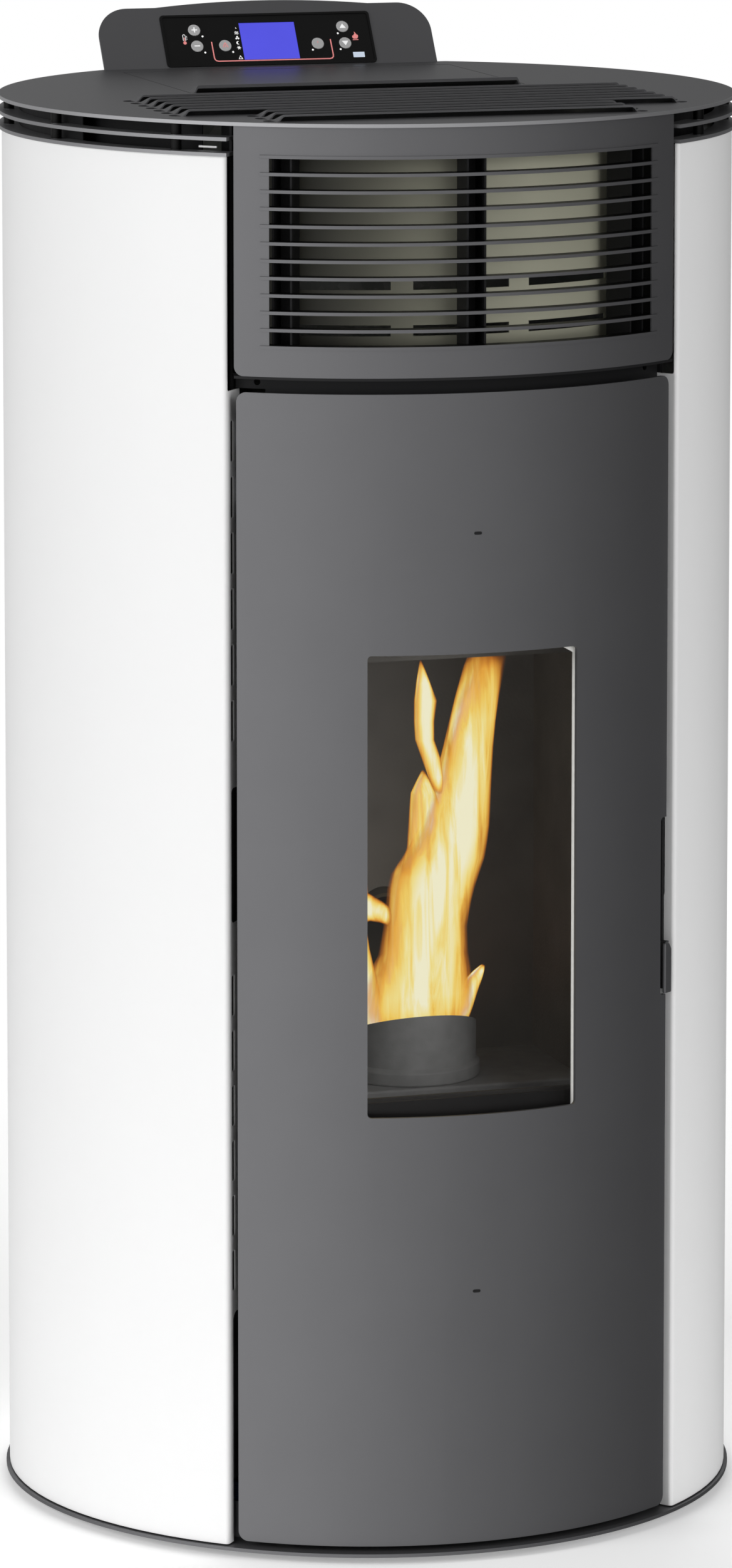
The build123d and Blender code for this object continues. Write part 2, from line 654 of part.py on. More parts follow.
# --------------------------------------------------------------------- door
def door_skin():
    """Curved door sheet with the window and the notch beside the handle."""
    r_in = DOOR_R - DOOR_T
    skin = curved_plate(r_in, DOOR_R, -DOOR_ANGLE, DOOR_ANGLE, *DOOR_Z, DOOR_CORNER)
    skin -= curved_plate(r_in - 1, DOOR_R + 1, -WINDOW_ANGLE, WINDOW_ANGLE, *WINDOW_Z, WINDOW_CORNER)
    skin -= curved_plate(r_in - 1, DOOR_R + 1, NOTCH_ANGLE, DOOR_ANGLE + 5, *NOTCH_Z, 3.0)
    ear = slab((HANDLE_PIVOT_R - 6, r_in + 1), (-14.0, -11.0),
               (HANDLE_PIVOT_Z - 8, HANDLE_PIVOT_Z + 8))
    ear = radial_frame(HANDLE_ANGLE) * ear
    pin = rod(HANDLE_PIN_R, *handle_pin_ends())
    return skin + ear + pin


def handle_pin_ends():
    """Ends of the pin that the handle turns on."""
    frame = radial_frame(HANDLE_ANGLE)
    ends = (-12.0, HANDLE_T / 2 + 0.5)
    return [frame.from_local_coords(Vector(HANDLE_PIVOT_R, t, HANDLE_PIVOT_Z)) for t in ends]


def door_glass():
    """Bent ceramic glass."""
    r_out = DOOR_R - DOOR_T - STRIP_T
    return curved_plate(r_out - GLASS_T, r_out, -GLASS_ANGLE, GLASS_ANGLE,
                        WINDOW_Z[0] - GLASS_MARGIN, WINDOW_Z[1] + GLASS_MARGIN)


def glass_strips():
    """White fibre strips between the skin and both sides of the glass."""
    r_out = DOOR_R - DOOR_T
    z = (WINDOW_Z[0] - GLASS_MARGIN, WINDOW_Z[1] + GLASS_MARGIN)
    strip = curved_plate(r_out - STRIP_T + SKIN_FIT, r_out - SKIN_FIT, STRIP_START, GLASS_ANGLE, *z)
    return Compound([strip, mirror(strip, Plane.YZ)])


def door_frame():
    """Pressing behind the skin, with shelves above and below and retainers for the glass."""
    back = TRAY_BACK_Y + TRAY_T
    r_out = DOOR_R - DOOR_T - SKIN_FIT
    plate = slab((-TRAY_HALF, TRAY_HALF), (TRAY_BACK_Y, back), TRAY_Z)
    edge = -sqrt(r_out ** 2 - TRAY_HALF ** 2)
    segment = make_face([
        Line((-TRAY_HALF, edge), (-TRAY_HALF, TRAY_BACK_Y)),
        Line((-TRAY_HALF, TRAY_BACK_Y), (TRAY_HALF, TRAY_BACK_Y)),
        Line((TRAY_HALF, TRAY_BACK_Y), (TRAY_HALF, edge)),
        ThreePointArc((TRAY_HALF, edge), (0, -r_out), (-TRAY_HALF, edge)),
    ])
    for z in (TRAY_Z[0], TRAY_Z[1] - TRAY_T):
        plate += extrude(Pos(0, 0, z) * segment, TRAY_T)
    window = (-TRAY_WINDOW_HALF, TRAY_WINDOW_HALF)
    plate -= rounded_prism(window, TRAY_WINDOW_Z, (TRAY_BACK_Y - 1, back + 1), 4.0)
    lip = TRAY_WINDOW_HALF - RETAINER_REACH
    glass_back = DOOR_R - DOOR_T - STRIP_T - GLASS_T
    touch = -sqrt(glass_back ** 2 - (lip + TRAY_T) ** 2) + 0.1
    retainer = slab((lip, lip + TRAY_T), (touch, TRAY_BACK_Y), RETAINER_Z)
    retainer += slab((lip, TRAY_WINDOW_HALF + 8), (TRAY_BACK_Y - TRAY_T, TRAY_BACK_Y), RETAINER_Z)
    return plate + retainer + mirror(retainer, Plane.YZ)


def door_seal():
    """Rope seal between the tray and the front face of the firebox."""
    y = (FIREBOX_Y[0] - SEAL_FIT - SEAL_W, FIREBOX_Y[0] - SEAL_FIT)
    half = SEAL_W / 2
    outer = rounded_prism((-SEAL_HALF - half, SEAL_HALF + half), (SEAL_Z[0] - half, SEAL_Z[1] + half),
                          y, SEAL_CORNER + half)
    inner = rounded_prism((half - SEAL_HALF, SEAL_HALF - half), (SEAL_Z[0] + half, SEAL_Z[1] - half),
                          (y[0] - 1, y[1] + 1), SEAL_CORNER - half)
    seal = outer - inner
    rims = seal.faces().sort_by(Axis.Y)
    return fillet(rims[0].edges() + rims[-1].edges(), SEAL_W * 0.35)


def hinge_brackets():
    """Cabinet side of both hinges: leaf, two ears and the pin."""
    frame = radial_frame(-PANEL_ANGLE)
    pivot = polar(HINGE_R, HINGE_ANGLE)
    brackets = []
    for z in HINGE_Z:
        leaf = slab(LEAF_R, (-PANEL_T, LEAF_T - PANEL_T), (z, z + HINGE_H))
        bracket = frame * leaf
        root = frame.from_local_coords(Vector(LEAF_R[1] - 3, 0.3, 0))
        for start in (z, z + HINGE_H - HINGE_EAR):
            eye = Pos(pivot.X, pivot.Y, start) * extrude(Circle(KNUCKLE_R), HINGE_EAR)
            arm = Line((pivot.X, pivot.Y), (root.X, root.Y))
            bar = Rectangle(arm.length, LEAF_T)
            place = Pos(arm @ 0.5) * Rot(0, 0, degrees_of(arm))
            bracket += eye + Pos(0, 0, start) * extrude(place * bar, HINGE_EAR)
        bracket += Pos(pivot.X, pivot.Y, z) * extrude(Circle(PIN_R), HINGE_H)
        brackets.append(bracket)
    return Compound(brackets)


def degrees_of(line):
    """Direction of a line in the XY plane."""
    step = line @ 1 - line @ 0
    return degrees(acos(step.X / step.length)) * (1 if step.Y >= 0 else -1)


def door_hinge_leaves():
    """Door side of both hinges: knuckle and leaf behind the skin."""
    pivot = polar(HINGE_R, HINGE_ANGLE)
    r_out = DOOR_R - DOOR_T
    leaves = []
    for z in HINGE_Z:
        low = z + HINGE_EAR + KNUCKLE_GAP
        height = HINGE_H - 2 * HINGE_EAR - 2 * KNUCKLE_GAP
        knuckle = Pos(pivot.X, pivot.Y, low) * extrude(Circle(KNUCKLE_R), height)
        leaf = curved_plate(r_out - LEAF_T, r_out, HINGE_ANGLE, HINGE_ANGLE + LEAF_ANGLE, low, low + height)
        bore = Pos(pivot.X, pivot.Y, low - 1) * extrude(Circle(PIN_R + PIN_FIT), height + 2)
        leaves.append(knuckle + leaf - bore)
    return Compound(leaves)


def door_handle():
    """Flat lever in the gap beside the door, with a thick grip at its lower end."""
    frame = radial_frame(HANDLE_ANGLE)
    half = HANDLE_T / 2
    bar = slab((HANDLE_PIVOT_R - 5, HANDLE_PIVOT_R + 8), (-half, half),
               (HANDLE_GRIP_Z[1] - 5, HANDLE_PIVOT_Z))
    grip_half = HANDLE_GRIP_T / 2
    grip = slab(HANDLE_GRIP_R, (-grip_half, grip_half), HANDLE_GRIP_Z)
    grip = fillet(grip.edges().filter_by(Axis.Y), 3.0)
    nose = slab((STRIKER_R + STRIKER_ROLLER_R + 1, HANDLE_PIVOT_R), (-half, half),
                (HANDLE_PIVOT_Z - 4, HANDLE_PIVOT_Z + 4))
    lever = frame * (bar + grip + nose)
    hub = [frame.from_local_coords(Vector(HANDLE_PIVOT_R, t, HANDLE_PIVOT_Z)) for t in (-half, half)]
    lever += rod(HANDLE_HUB_R, *hub)
    return lever - rod(HANDLE_PIN_R + PIN_FIT, *handle_pin_ends())


def latch_striker():
    """Roller on a small bracket, fixed to the right front post."""
    frame = radial_frame(PANEL_ANGLE)
    z = (HANDLE_PIVOT_Z - 14, HANDLE_PIVOT_Z + 14)
    plate = slab((STRIKER_R - 4, STRIKER_R + 10), (PANEL_T - 2.0, PANEL_T), z)
    ends = [frame.from_local_coords(Vector(STRIKER_R, t, HANDLE_PIVOT_Z)) for t in (-9.0, 0.0)]
    return frame * plate + rod(STRIKER_ROLLER_R, *ends)


# ------------------------------------------------------------------ firebox
def auger_point(distance):
    """Point on the auger's axis, measured from its lower end."""
    x, y, z = AUGER_FOOT
    return Vector(x, y - distance * sqrt(0.5), z + distance * sqrt(0.5))


def chute_axis():
    """Two points on the axis of the pellet chute, which drops at 45 degrees."""
    top = auger_point(193.0)
    drop = top.Y - CHUTE_END_Y + CHUTE_R
    return top, Vector(0, top.Y - drop, top.Z - drop)


def chute_hole():
    """Cutter that lets the chute through the firebox and its liner."""
    top, low = chute_axis()
    return rod(CHUTE_R + CHUTE_FIT, top, low)


def firebox_body():
    """Welded box with two front openings and a wide front face."""
    half, sheet = FIREBOX_HALF, FIREBOX_T
    body = slab((-half, half), FIREBOX_Y, FIREBOX_Z)
    body -= slab((sheet - half, half - sheet), (FIREBOX_Y[0] - 1, FIREBOX_Y[1] - sheet),
                 (FIREBOX_Z[0] + sheet, FIREBOX_Z[1] + 1))
    face = slab((-half, half), (FIREBOX_Y[0], FIREBOX_Y[0] + sheet), FLANGE_FACE_Z)
    y = (FIREBOX_Y[0] - 1, FIREBOX_Y[0] + sheet + 1)
    body += face
    body -= rounded_prism((-FIRE_HALF, FIRE_HALF), FIRE_Z, y, 10.0)
    body -= slab((-FIRE_HALF, FIRE_HALF), y, ASH_Z)
    y = FIREBOX_Y[1]
    air = rod(AIR_PIPE_R, (AIR_PIPE_X, y - 5, AIR_PIPE_Z), (AIR_PIPE_X, y + 5, AIR_PIPE_Z))
    return body - chute_hole() - air


def firebox_liner():
    """U of insulating board round the fire, with ledges for the baffle."""
    half = FIREBOX_HALF - FIREBOX_T
    y = (FIREBOX_Y[0] + FIREBOX_T, FIREBOX_Y[1] - FIREBOX_T)
    z = (HEARTH_Z, FIREBOX_Z[1])
    liner = slab((-half, half), y, z)
    liner -= slab((LINER_T - half, half - LINER_T), (y[0] - 1, y[1] - LINER_T), (z[0] - 1, z[1] + 1))
    for side in (-1, 1):
        x = sorted((side * (half - LINER_T), side * (half - LINER_T - 8)))
        liner += slab(x, (BAFFLE_FRONT + 10, y[1] - LINER_T), (BAFFLE_Z - 8, BAFFLE_Z))
    return liner - chute_hole()


def hearth_plate():
    """Cast hearth with a round hole and the cradle ring under it."""
    half = FIREBOX_HALF - FIREBOX_T
    z = (HEARTH_Z - HEARTH_T, HEARTH_Z)
    plate = slab((-half, half), (HEARTH_FRONT, FIREBOX_Y[1] - FIREBOX_T), z)
    ledge = (HEARTH_FRONT - 1, HEARTH_FRONT + 3)
    plate = fillet(plate.edges().group_by(Axis.Y)[0].filter_by(Axis.X), 2.0)
    for side in (-1, 1):
        x = sorted((side * half, side * (half - LINER_T)))
        plate += slab(x, (FIREBOX_Y[0] + FIREBOX_T, ledge[1]), z)
    bore = POT_SPIGOT_R + POT_FIT
    ring = Circle(bore + CRADLE_T) - Circle(bore)
    plate += Pos(0, POT_Y, CRADLE_BOTTOM) * extrude(ring, z[0] - CRADLE_BOTTOM)
    return plate - rod(bore, (0, POT_Y, z[0] - 1), (0, POT_Y, z[1] + 1))


def burn_pot():
    """Cast pot with a slanted rim, a stepped foot and a grate of holes."""
    floor = HEARTH_Z + 3.0
    top = POT_RIM_Z + POT_RIM_SLOPE * POT_R
    spigot = HEARTH_Z - POT_SPIGOT_DROP
    outer = [(0, spigot), (POT_SPIGOT_R, spigot), (POT_SPIGOT_R, HEARTH_Z), (POT_BASE_R, HEARTH_Z),
             (POT_BASE_R, HEARTH_Z + POT_BASE_H), (POT_R, HEARTH_Z + POT_BASE_H + 3), (POT_R, top), (0, top)]
    pot = revolve(Plane.XZ * make_face(Polyline(*outer, close=True).edges()), Axis.Z)
    foot = pot.edges().filter_by(GeomType.CIRCLE).group_by(SortBy.RADIUS)[-1]
    pot = fillet(foot, 2.0)
    bore = POT_R - POT_WALL
    pot -= Pos(0, 0, floor) * extrude(Circle(bore), top)
    pot -= Pos(0, 0, spigot - 1) * extrude(Circle(POT_SPIGOT_R - POT_WALL), floor - spigot - 2)
    slope = degrees(asin(POT_RIM_SLOPE / sqrt(1 + POT_RIM_SLOPE ** 2)))
    pot -= Pos(0, 0, POT_RIM_Z) * Rot(-slope, 0, 0) * Pos(0, 0, 50) * Box(200, 200, 100)
    rim = [e for e in pot.edges() if e.center().Z > POT_RIM_Z - 3 and e.length > 4 * POT_R]
    pot = fillet(rim, 1.6)
    hole = Pos(0, 0, floor - 6) * extrude(Circle(POT_HOLE_R), 12)
    pot -= [Pos(point) * hole for point in grate_points()]
    return Pos(0, POT_Y, 0) * pot


def grate_points():
    """Centres of the air holes in the floor of the pot."""
    points = [Vector(0, 0)]
    for count, radius in ((6, 14.0), (12, 28.0)):
        points += [polar(radius, 360.0 * index / count) for index in range(count)]
    return points


def igniter():
    """Ceramic rod under the hearth, in a collar behind the firebox wall."""
    z = HEARTH_Z - HEARTH_T - IGNITER_DROP
    back = FIREBOX_Y[1] - FIREBOX_T
    body = rod(IGNITER_R, (0, POT_Y + POT_SPIGOT_R + CRADLE_T + 2, z), (0, back, z))
    return body + rod(IGNITER_COLLAR_R, (0, back - 4, z), (0, back, z))


def ash_drawer():
    """Open tray under the hearth with a folded lip to pull it by."""
    z = (ASH_Z[0], ASH_TOP)
    tray = slab((-ASH_HALF, ASH_HALF), ASH_DEPTH, z)
    tray = fillet(tray.edges().filter_by(Axis.Z), 6.0)
    half = ASH_HALF - ASH_SHEET
    inner = slab((-half, half), (ASH_DEPTH[0] + ASH_SHEET, ASH_DEPTH[1] - ASH_SHEET),
                 (z[0] + ASH_SHEET, z[1] + 1))
    tray -= fillet(inner.edges().filter_by(Axis.Z), 6.0 - ASH_SHEET)
    return tray + slab((-ASH_LIP_HALF, ASH_LIP_HALF), (ASH_DEPTH[0] - 2.5, ASH_DEPTH[0] + 1.0),
                       (z[1] - 30, z[1] - 27))


def baffle_plate():
    """Flame plate lying on the liner's ledges."""
    half = FIREBOX_HALF - FIREBOX_T - LINER_T - 0.3
    back = FIREBOX_Y[1] - FIREBOX_T - LINER_T
    return slab((-half, half), (BAFFLE_FRONT, back), (BAFFLE_Z, BAFFLE_Z + BAFFLE_T))


def firebox_plinth():
    """Folded stand under the firebox, open at the front and back."""
    z = (BASE_TOP, FIREBOX_Z[0])
    plinth = slab((-PLINTH_HALF, PLINTH_HALF), PLINTH_Y, z)
    plinth -= slab((PLINTH_T - PLINTH_HALF, PLINTH_HALF - PLINTH_T),
                   (PLINTH_Y[0] - 1, PLINTH_Y[1] + 1), (z[0] - 1, z[1] - PLINTH_T))
    middle = (PLINTH_Y[0] + PLINTH_Y[1]) / 2
    outline = Pos(middle, (z[0] + z[1]) / 2 - 9.0) * RectangleRounded(*PLINTH_OPENING)
    opening = extrude(Plane.YZ * outline, PLINTH_HALF + 10, both=True)
    return plinth - opening


def heat_exchanger():
    """Box on the firebox with air tubes through it."""
    half, sheet = FIREBOX_HALF, PLINTH_T
    y = (FIREBOX_Y[0] + FIREBOX_T, FIREBOX_Y[1])
    z = (FIREBOX_Z[1], EXCHANGER_TOP)
    box = slab((-half, half), y, z)
    box -= slab((sheet - half, half - sheet), (y[0] + sheet, y[1] - sheet), (z[0] - 1, z[1] - sheet))
    for tube_z in TUBE_Z:
        for x in TUBE_X:
            start, end = (x, y[0], tube_z), (x, y[1], tube_z)
            box += rod(TUBE_R, start, end)
    for tube_z in TUBE_Z:
        for x in TUBE_X:
            box -= rod(TUBE_R - TUBE_T, (x, y[0] - 1, tube_z), (x, y[1] + 1, tube_z))
    duct_x = (FLUE_DUCT_X[0] + 2, half - sheet)
    return box - slab(duct_x, (y[1] - 5, y[1] + 1), FLUE_PORT_Z)


# ------------------------------------------------------------ hopper, auger
def hopper_outline(sheet):
    """Solid hopper, its sides moved in by a sheet thickness."""
    half = HOPPER_HALF - sheet
    y = (HOPPER_Y[0] + sheet, HOPPER_Y[1] - sheet)
    middle = (y[0] + y[1]) / 2
    throat = [2 * (side - sheet) for side in THROAT_HALF]
    bin_top = Pos(0, middle, HOPPER_TAPER_Z) * Rectangle(2 * half, y[1] - y[0])
    bin_low = Pos(0, THROAT_Y, THROAT_TOP) * Rectangle(*throat)
    shape = extrude(bin_top, TOP_UNDER + sheet - HOPPER_TAPER_Z)
    shape += loft([bin_low, bin_top])
    return shape + extrude(bin_low, THROAT_LOW - sheet - THROAT_TOP)


def hopper():
    """Pellet bin, tapered to a throat that sits on the auger tube."""
    body = hopper_outline(0.0)
    body -= slab((-200, 200), (0, 300), (TOP_UNDER, TOP_UNDER + 10))
    half = HOPPER_HALF + HOPPER_FLANGE
    body += slab((-half, half), (HOPPER_Y[0] - HOPPER_FLANGE, HOPPER_Y[1] - 2),
                 (TOP_UNDER - HOPPER_FLANGE_T, TOP_UNDER))
    body -= hopper_outline(HOPPER_T)
    for side in (-1, 1):
        x = sorted((side * (HOPPER_HALF - HOPPER_T), side * (HOPPER_HALF - 10)))
        for y in (HOPPER_Y[0] + 30, HOPPER_Y[1] - 30):
            body += slab(x, (y - 8, y + 8), (GRID_Z - 2, GRID_Z))
    return body - rod(AUGER_R + 0.05, auger_point(-20), auger_point(AUGER_LEN + 20))


def hopper_grid():
    """Finger guard lying in the hopper."""
    half = HOPPER_HALF - HOPPER_T - 0.5
    y = (HOPPER_Y[0] + HOPPER_T + 0.5, HOPPER_Y[1] - HOPPER_T - 0.5)
    grid = slab((-half, half), y, (GRID_Z, GRID_Z + GRID_T))
    pitch = 2 * half / (GRID_BARS + 1)
    windows = []
    for index in range(GRID_BARS + 1):
        x = -half + index * pitch
        windows.append(slab((x + 4, x + pitch - 4), (y[0] + 6, y[1] - 6), (GRID_Z - 1, GRID_Z + GRID_T + 1)))
    return grid - windows


def lid_axis_z():
    """Height of the lid's pins."""
    return TOP_Z - LID_AXIS_DROP


def hopper_lid():
    """Flush lid with a raised front lip and a pierced lug at each rear corner."""
    lid = slab((-LID_HALF, LID_HALF), LID_Y, (TOP_UNDER, TOP_Z))
    lid -= slab((-LID_LIP_HALF, LID_LIP_HALF), (LID_Y[0] - 1, LID_Y[0] + LID_LIP_D - 1),
                (TOP_UNDER - 1, TOP_Z + 1))
    hood = louvre_hood(LID_LIP_HALF, LID_LIP_RAMP, LID_LIP_H, LID_LIP_D, LID_LIP_T)
    lid += Pos(0, LID_Y[0], TOP_Z) * hood
    z = lid_axis_z()
    for side in (-1, 1):
        x = sorted((side * (LID_HALF - 1), side * (LID_HALF - 1 - LUG_T)))
        lug = slab(x, (LID_AXIS_Y - LUG_R, LID_Y[1]), (z, TOP_UNDER + 1))
        lug += rod(LUG_R - 0.1, (x[0], LID_AXIS_Y, z), (x[1], LID_AXIS_Y, z))
        lid += lug
    return lid - rod(LID_PIN_R + LID_PIN_FIT, (-200, LID_AXIS_Y, z), (200, LID_AXIS_Y, z))


def lid_hinges():
    """Brackets under the top plate, each with a pin into the lid."""
    z = lid_axis_z()
    hinges = []
    for side in (-1, 1):
        inner = LID_HALF + LID_GAP + 0.8
        x = sorted((side * inner, side * (inner + 2.5)))
        plate = slab(x, (LID_AXIS_Y - 7, LID_AXIS_Y + 7), (z - 7, TOP_UNDER))
        pin = (side * (LID_HALF - 2 - LUG_T), side * (inner + 1))
        hinges.append(plate + rod(LID_PIN_R, (min(pin), LID_AXIS_Y, z), (max(pin), LID_AXIS_Y, z)))
    return Compound(hinges)


def auger_tube():
    """Inclined tube with an inlet under the hopper and an outlet over the chute."""
    tube = rod(AUGER_R, auger_point(0), auger_point(AUGER_LEN))
    tube -= rod(AUGER_R - AUGER_T, auger_point(AUGER_T), auger_point(AUGER_LEN - 5))
    tube -= rod(SCREW_SHAFT_R + SHAFT_FIT, auger_point(-5), auger_point(AUGER_LEN - 2))
    across, along = [side - HOPPER_T for side in THROAT_HALF]
    tube -= slab((-across, across), (THROAT_Y - along, THROAT_Y + along), (THROAT_LOW + 5, THROAT_TOP))
    top, low = chute_axis()
    return tube - rod(CHUTE_R - CHUTE_T, top, low)


def auger_screw():
    """Shaft with a helical flight, made by turning a thin sector along the axis."""
    spin = 360.0 * SCREW_TURNS
    width = 360.0 * SCREW_FLIGHT_T / SCREW_PITCH
    face = sector(SCREW_SHAFT_R - 1, SCREW_R, 0, width)
    length = SCREW_TURNS * SCREW_PITCH
    flight = Solid.extrude_linear_with_rotation(face.face(), (0, 0, 0), (0, 0, length), spin)
    shaft = extrude(Circle(SCREW_SHAFT_R), AUGER_LEN - 3 + SHAFT_TAIL)
    screw = Pos(0, 0, SCREW_START) * flight + Pos(0, 0, -SHAFT_TAIL) * shaft
    start = auger_point(0)
    return Plane(start, x_dir=(1, 0, 0), z_dir=auger_point(1) - start) * screw


def auger_motor():
    """Gearbox and motor on the lower end of the auger tube."""
    start = auger_point(0)
    frame = Plane(start, x_dir=(1, 0, 0), z_dir=start - auger_point(1))
    side, length = GEARBOX
    gearbox = fillet((Pos(0, 0, length / 2) * Box(side, side, length)).edges().filter_by(Axis.Z), 5.0)
    motor = Pos(0, 0, length) * extrude(Circle(AUGER_MOTOR[0]), AUGER_MOTOR[1])
    bore = Pos(0, 0, -1) * extrude(Circle(SCREW_SHAFT_R + SHAFT_FIT), SHAFT_TAIL + 1.5)
    return frame * (gearbox + motor - bore)


def pellet_chute():
    """Pipe that drops the pellets from the auger into the pot."""
    top, low = chute_axis()
    chute = rod(CHUTE_R, top, low) - rod(CHUTE_R - CHUTE_T, top, low + (low - top) * 0.1)
    chute -= rod(AUGER_R + 0.05, auger_point(-20), auger_point(AUGER_LEN + 20))
    return chute - slab((-50, 50), (CHUTE_END_Y - 60, CHUTE_END_Y), (300, 600))


# --------------------------------------------------------- air and flue gas
def exhaust_centre():
    """Axis of the exhaust pipe, x and z."""
    x = (FLUE_FAN_X[0] + FLUE_FAN_X[1]) / 2
    return x, FLUE_FAN[1] - FLUE_FAN_R + EXHAUST_R


def flue_duct():
    """Flat duct from the heat exchanger down to the flue fan."""
    x = FLUE_DUCT_X
    y0 = FIREBOX_Y[1]
    sheet = FLUE_DUCT_T
    reach = FLUE_FAN[0] + FLUE_BOOT_REACH
    upright = slab(x, (y0, y0 + FLUE_DUCT_D), FLUE_DUCT_Z)
    boot = slab(x, (y0, reach), FLUE_BOOT_Z)
    inner_x = (x[0] + sheet, x[1] - sheet)
    core = slab(inner_x, (y0 + sheet, y0 + FLUE_DUCT_D - sheet),
                (FLUE_DUCT_Z[0] + sheet, FLUE_DUCT_Z[1] - sheet))
    core += slab(inner_x, (y0 + sheet, reach - sheet), (FLUE_BOOT_Z[0] + sheet, FLUE_BOOT_Z[1] - sheet))
    duct = upright + boot - core
    duct -= slab((x[0] + 2, x[1] - 5), (y0 - 1, y0 + 5), FLUE_PORT_Z)
    return duct - rod(FLUE_EYE_R, (x[0] - 1, *FLUE_FAN), (x[0] + 5, *FLUE_FAN))


def scroll(radius, outlet, sheet, x):
    """Fan housing round an X axis: drum plus a straight outlet, hollow."""
    middle = (x[0] + x[1]) / 2
    width = x[1] - x[0]
    side = Circle(radius) + outlet
    solid = extrude(Plane((middle, 0, 0), x_dir=(0, 1, 0), z_dir=(1, 0, 0)) * side, width / 2, both=True)
    core_side = offset(side, -sheet)
    core = extrude(Plane((middle, 0, 0), x_dir=(0, 1, 0), z_dir=(1, 0, 0)) * core_side,
                   width / 2 - sheet, both=True)
    return solid - core


def flue_fan_housing():
    """Scroll housing of the smoke fan, on two legs."""
    outlet = Pos(FLUE_OUTLET / 2, EXHAUST_R - FLUE_FAN_R) * Rectangle(FLUE_OUTLET, 2 * EXHAUST_R)
    housing = Pos(0, *FLUE_FAN) * scroll(FLUE_FAN_R, outlet, FAN_T, FLUE_FAN_X)
    housing -= rod(FLUE_EYE_R, (FLUE_FAN_X[1] - 5, *FLUE_FAN), (FLUE_FAN_X[1] + 1, *FLUE_FAN))
    housing -= rod(FAN_SHAFT_R + 1, (FLUE_FAN_X[0] - 1, *FLUE_FAN), (FLUE_FAN_X[0] + 5, *FLUE_FAN))
    x, z = exhaust_centre()
    face = FLUE_FAN[0] + FLUE_OUTLET
    housing -= rod(EXHAUST_R - 5, (x, face - 5, z), (x, face + 1, z))
    for y in (FLUE_FAN[0] - 5, FLUE_FAN[0] + 40):
        leg = slab((FLUE_FAN_X[0] + 5, FLUE_FAN_X[1] - 5), (y, y + FAN_LEG_T),
                   (BASE_TOP, FLUE_FAN[1] - FLUE_FAN_R + 1))
        housing += leg
    return housing


def fan_wheel(radius, width):
    """Wheel on the X axis: back disc, blades, front ring and hub."""
    disc = extrude(Circle(radius), 2.0)
    hub = extrude(Circle(FAN_HUB[0]), FAN_HUB[1])
    ring = Pos(0, 0, width - 2) * extrude(Circle(radius) - Circle(radius * 0.72), 2.0)
    blade = Pos(radius * 0.84, 0, width / 2) * Rot(0, 0, 28) * Box(radius * 0.30, 1.6, width)
    wheel = disc + hub + ring
    wheel += [Rot(0, 0, 360.0 * index / BLADE_COUNT) * blade for index in range(BLADE_COUNT)]
    return Plane((0, 0, 0), x_dir=(0, 1, 0), z_dir=(1, 0, 0)) * wheel


def flue_fan_wheel():
    """Smoke fan wheel and its shaft."""
    wheel = Pos(FLUE_FAN_X[0] + 8, *FLUE_FAN) * fan_wheel(FLUE_WHEEL_R, 40.0)
    return wheel + rod(FAN_SHAFT_R, (FLUE_FAN_X[0] - 40, *FLUE_FAN), (FLUE_FAN_X[0] + 20, *FLUE_FAN))


def exhaust_pipe():
    """Spigot of the flue, flanged to the fan housing."""
    x, z = exhaust_centre()
    start = FLUE_FAN[0] + FLUE_OUTLET
    pipe = rod(EXHAUST_R, (x, start, z), (x, EXHAUST_END_Y, z))
    pipe += rod(EXHAUST_R + COLLAR_H, (x, BACK_Y, z), (x, BACK_Y + COLLAR_T, z))
    pipe -= rod(EXHAUST_R - EXHAUST_T, (x, start + 2, z), (x, EXHAUST_END_Y + 1, z))
    return pipe - rod(EXHAUST_R - 5, (x, start - 1, z), (x, start + 3, z))


def air_inlet_pipe():
    """Pipe that brings combustion air to the firebox."""
    start, end = FIREBOX_Y[1], AIR_PIPE_END_Y
    x, z = AIR_PIPE_X, AIR_PIPE_Z
    pipe = rod(AIR_PIPE_R, (x, start, z), (x, end, z))
    pipe += rod(AIR_PIPE_R + COLLAR_H, (x, BACK_Y, z), (x, BACK_Y + COLLAR_T, z))
    return pipe - rod(AIR_PIPE_R - EXHAUST_T, (x, start - 1, z), (x, end + 1, z))


def room_fan_housing():
    """Scroll housing of the room air fan, blowing upwards, on a foot."""
    outlet = Pos(ROOM_OUTLET_Y, ROOM_OUTLET_H / 2) * Rectangle(ROOM_OUTLET_W, ROOM_OUTLET_H)
    housing = Pos(0, *ROOM_FAN) * scroll(ROOM_FAN_R, outlet, FAN_T, ROOM_FAN_X)
    housing -= rod(ROOM_EYE_R, (ROOM_FAN_X[0] - 1, *ROOM_FAN), (ROOM_FAN_X[0] + 5, *ROOM_FAN))
    housing -= rod(FAN_SHAFT_R + 1, (ROOM_FAN_X[1] - 5, *ROOM_FAN), (ROOM_FAN_X[1] + 1, *ROOM_FAN))
    top = ROOM_FAN[1] + ROOM_OUTLET_H
    middle_y = ROOM_FAN[0] + ROOM_OUTLET_Y
    half = ROOM_OUTLET_W / 2 - FAN_T
    housing -= slab((ROOM_FAN_X[0] + FAN_T, ROOM_FAN_X[1] - FAN_T), (middle_y - half, middle_y + half),
                    (top - 5, top + 1))
    for x in (ROOM_FAN_X[0] + 10, ROOM_FAN_X[1] - 13):
        foot = slab((x, x + FAN_LEG_T), (ROOM_FAN[0] - 25, ROOM_FAN[0] + 25),
                    (BASE_TOP, ROOM_FAN[1] - ROOM_FAN_R + 8))
        housing += foot - rod(ROOM_FAN_R - 1, (x - 1, *ROOM_FAN), (x + 4, *ROOM_FAN))
    return housing


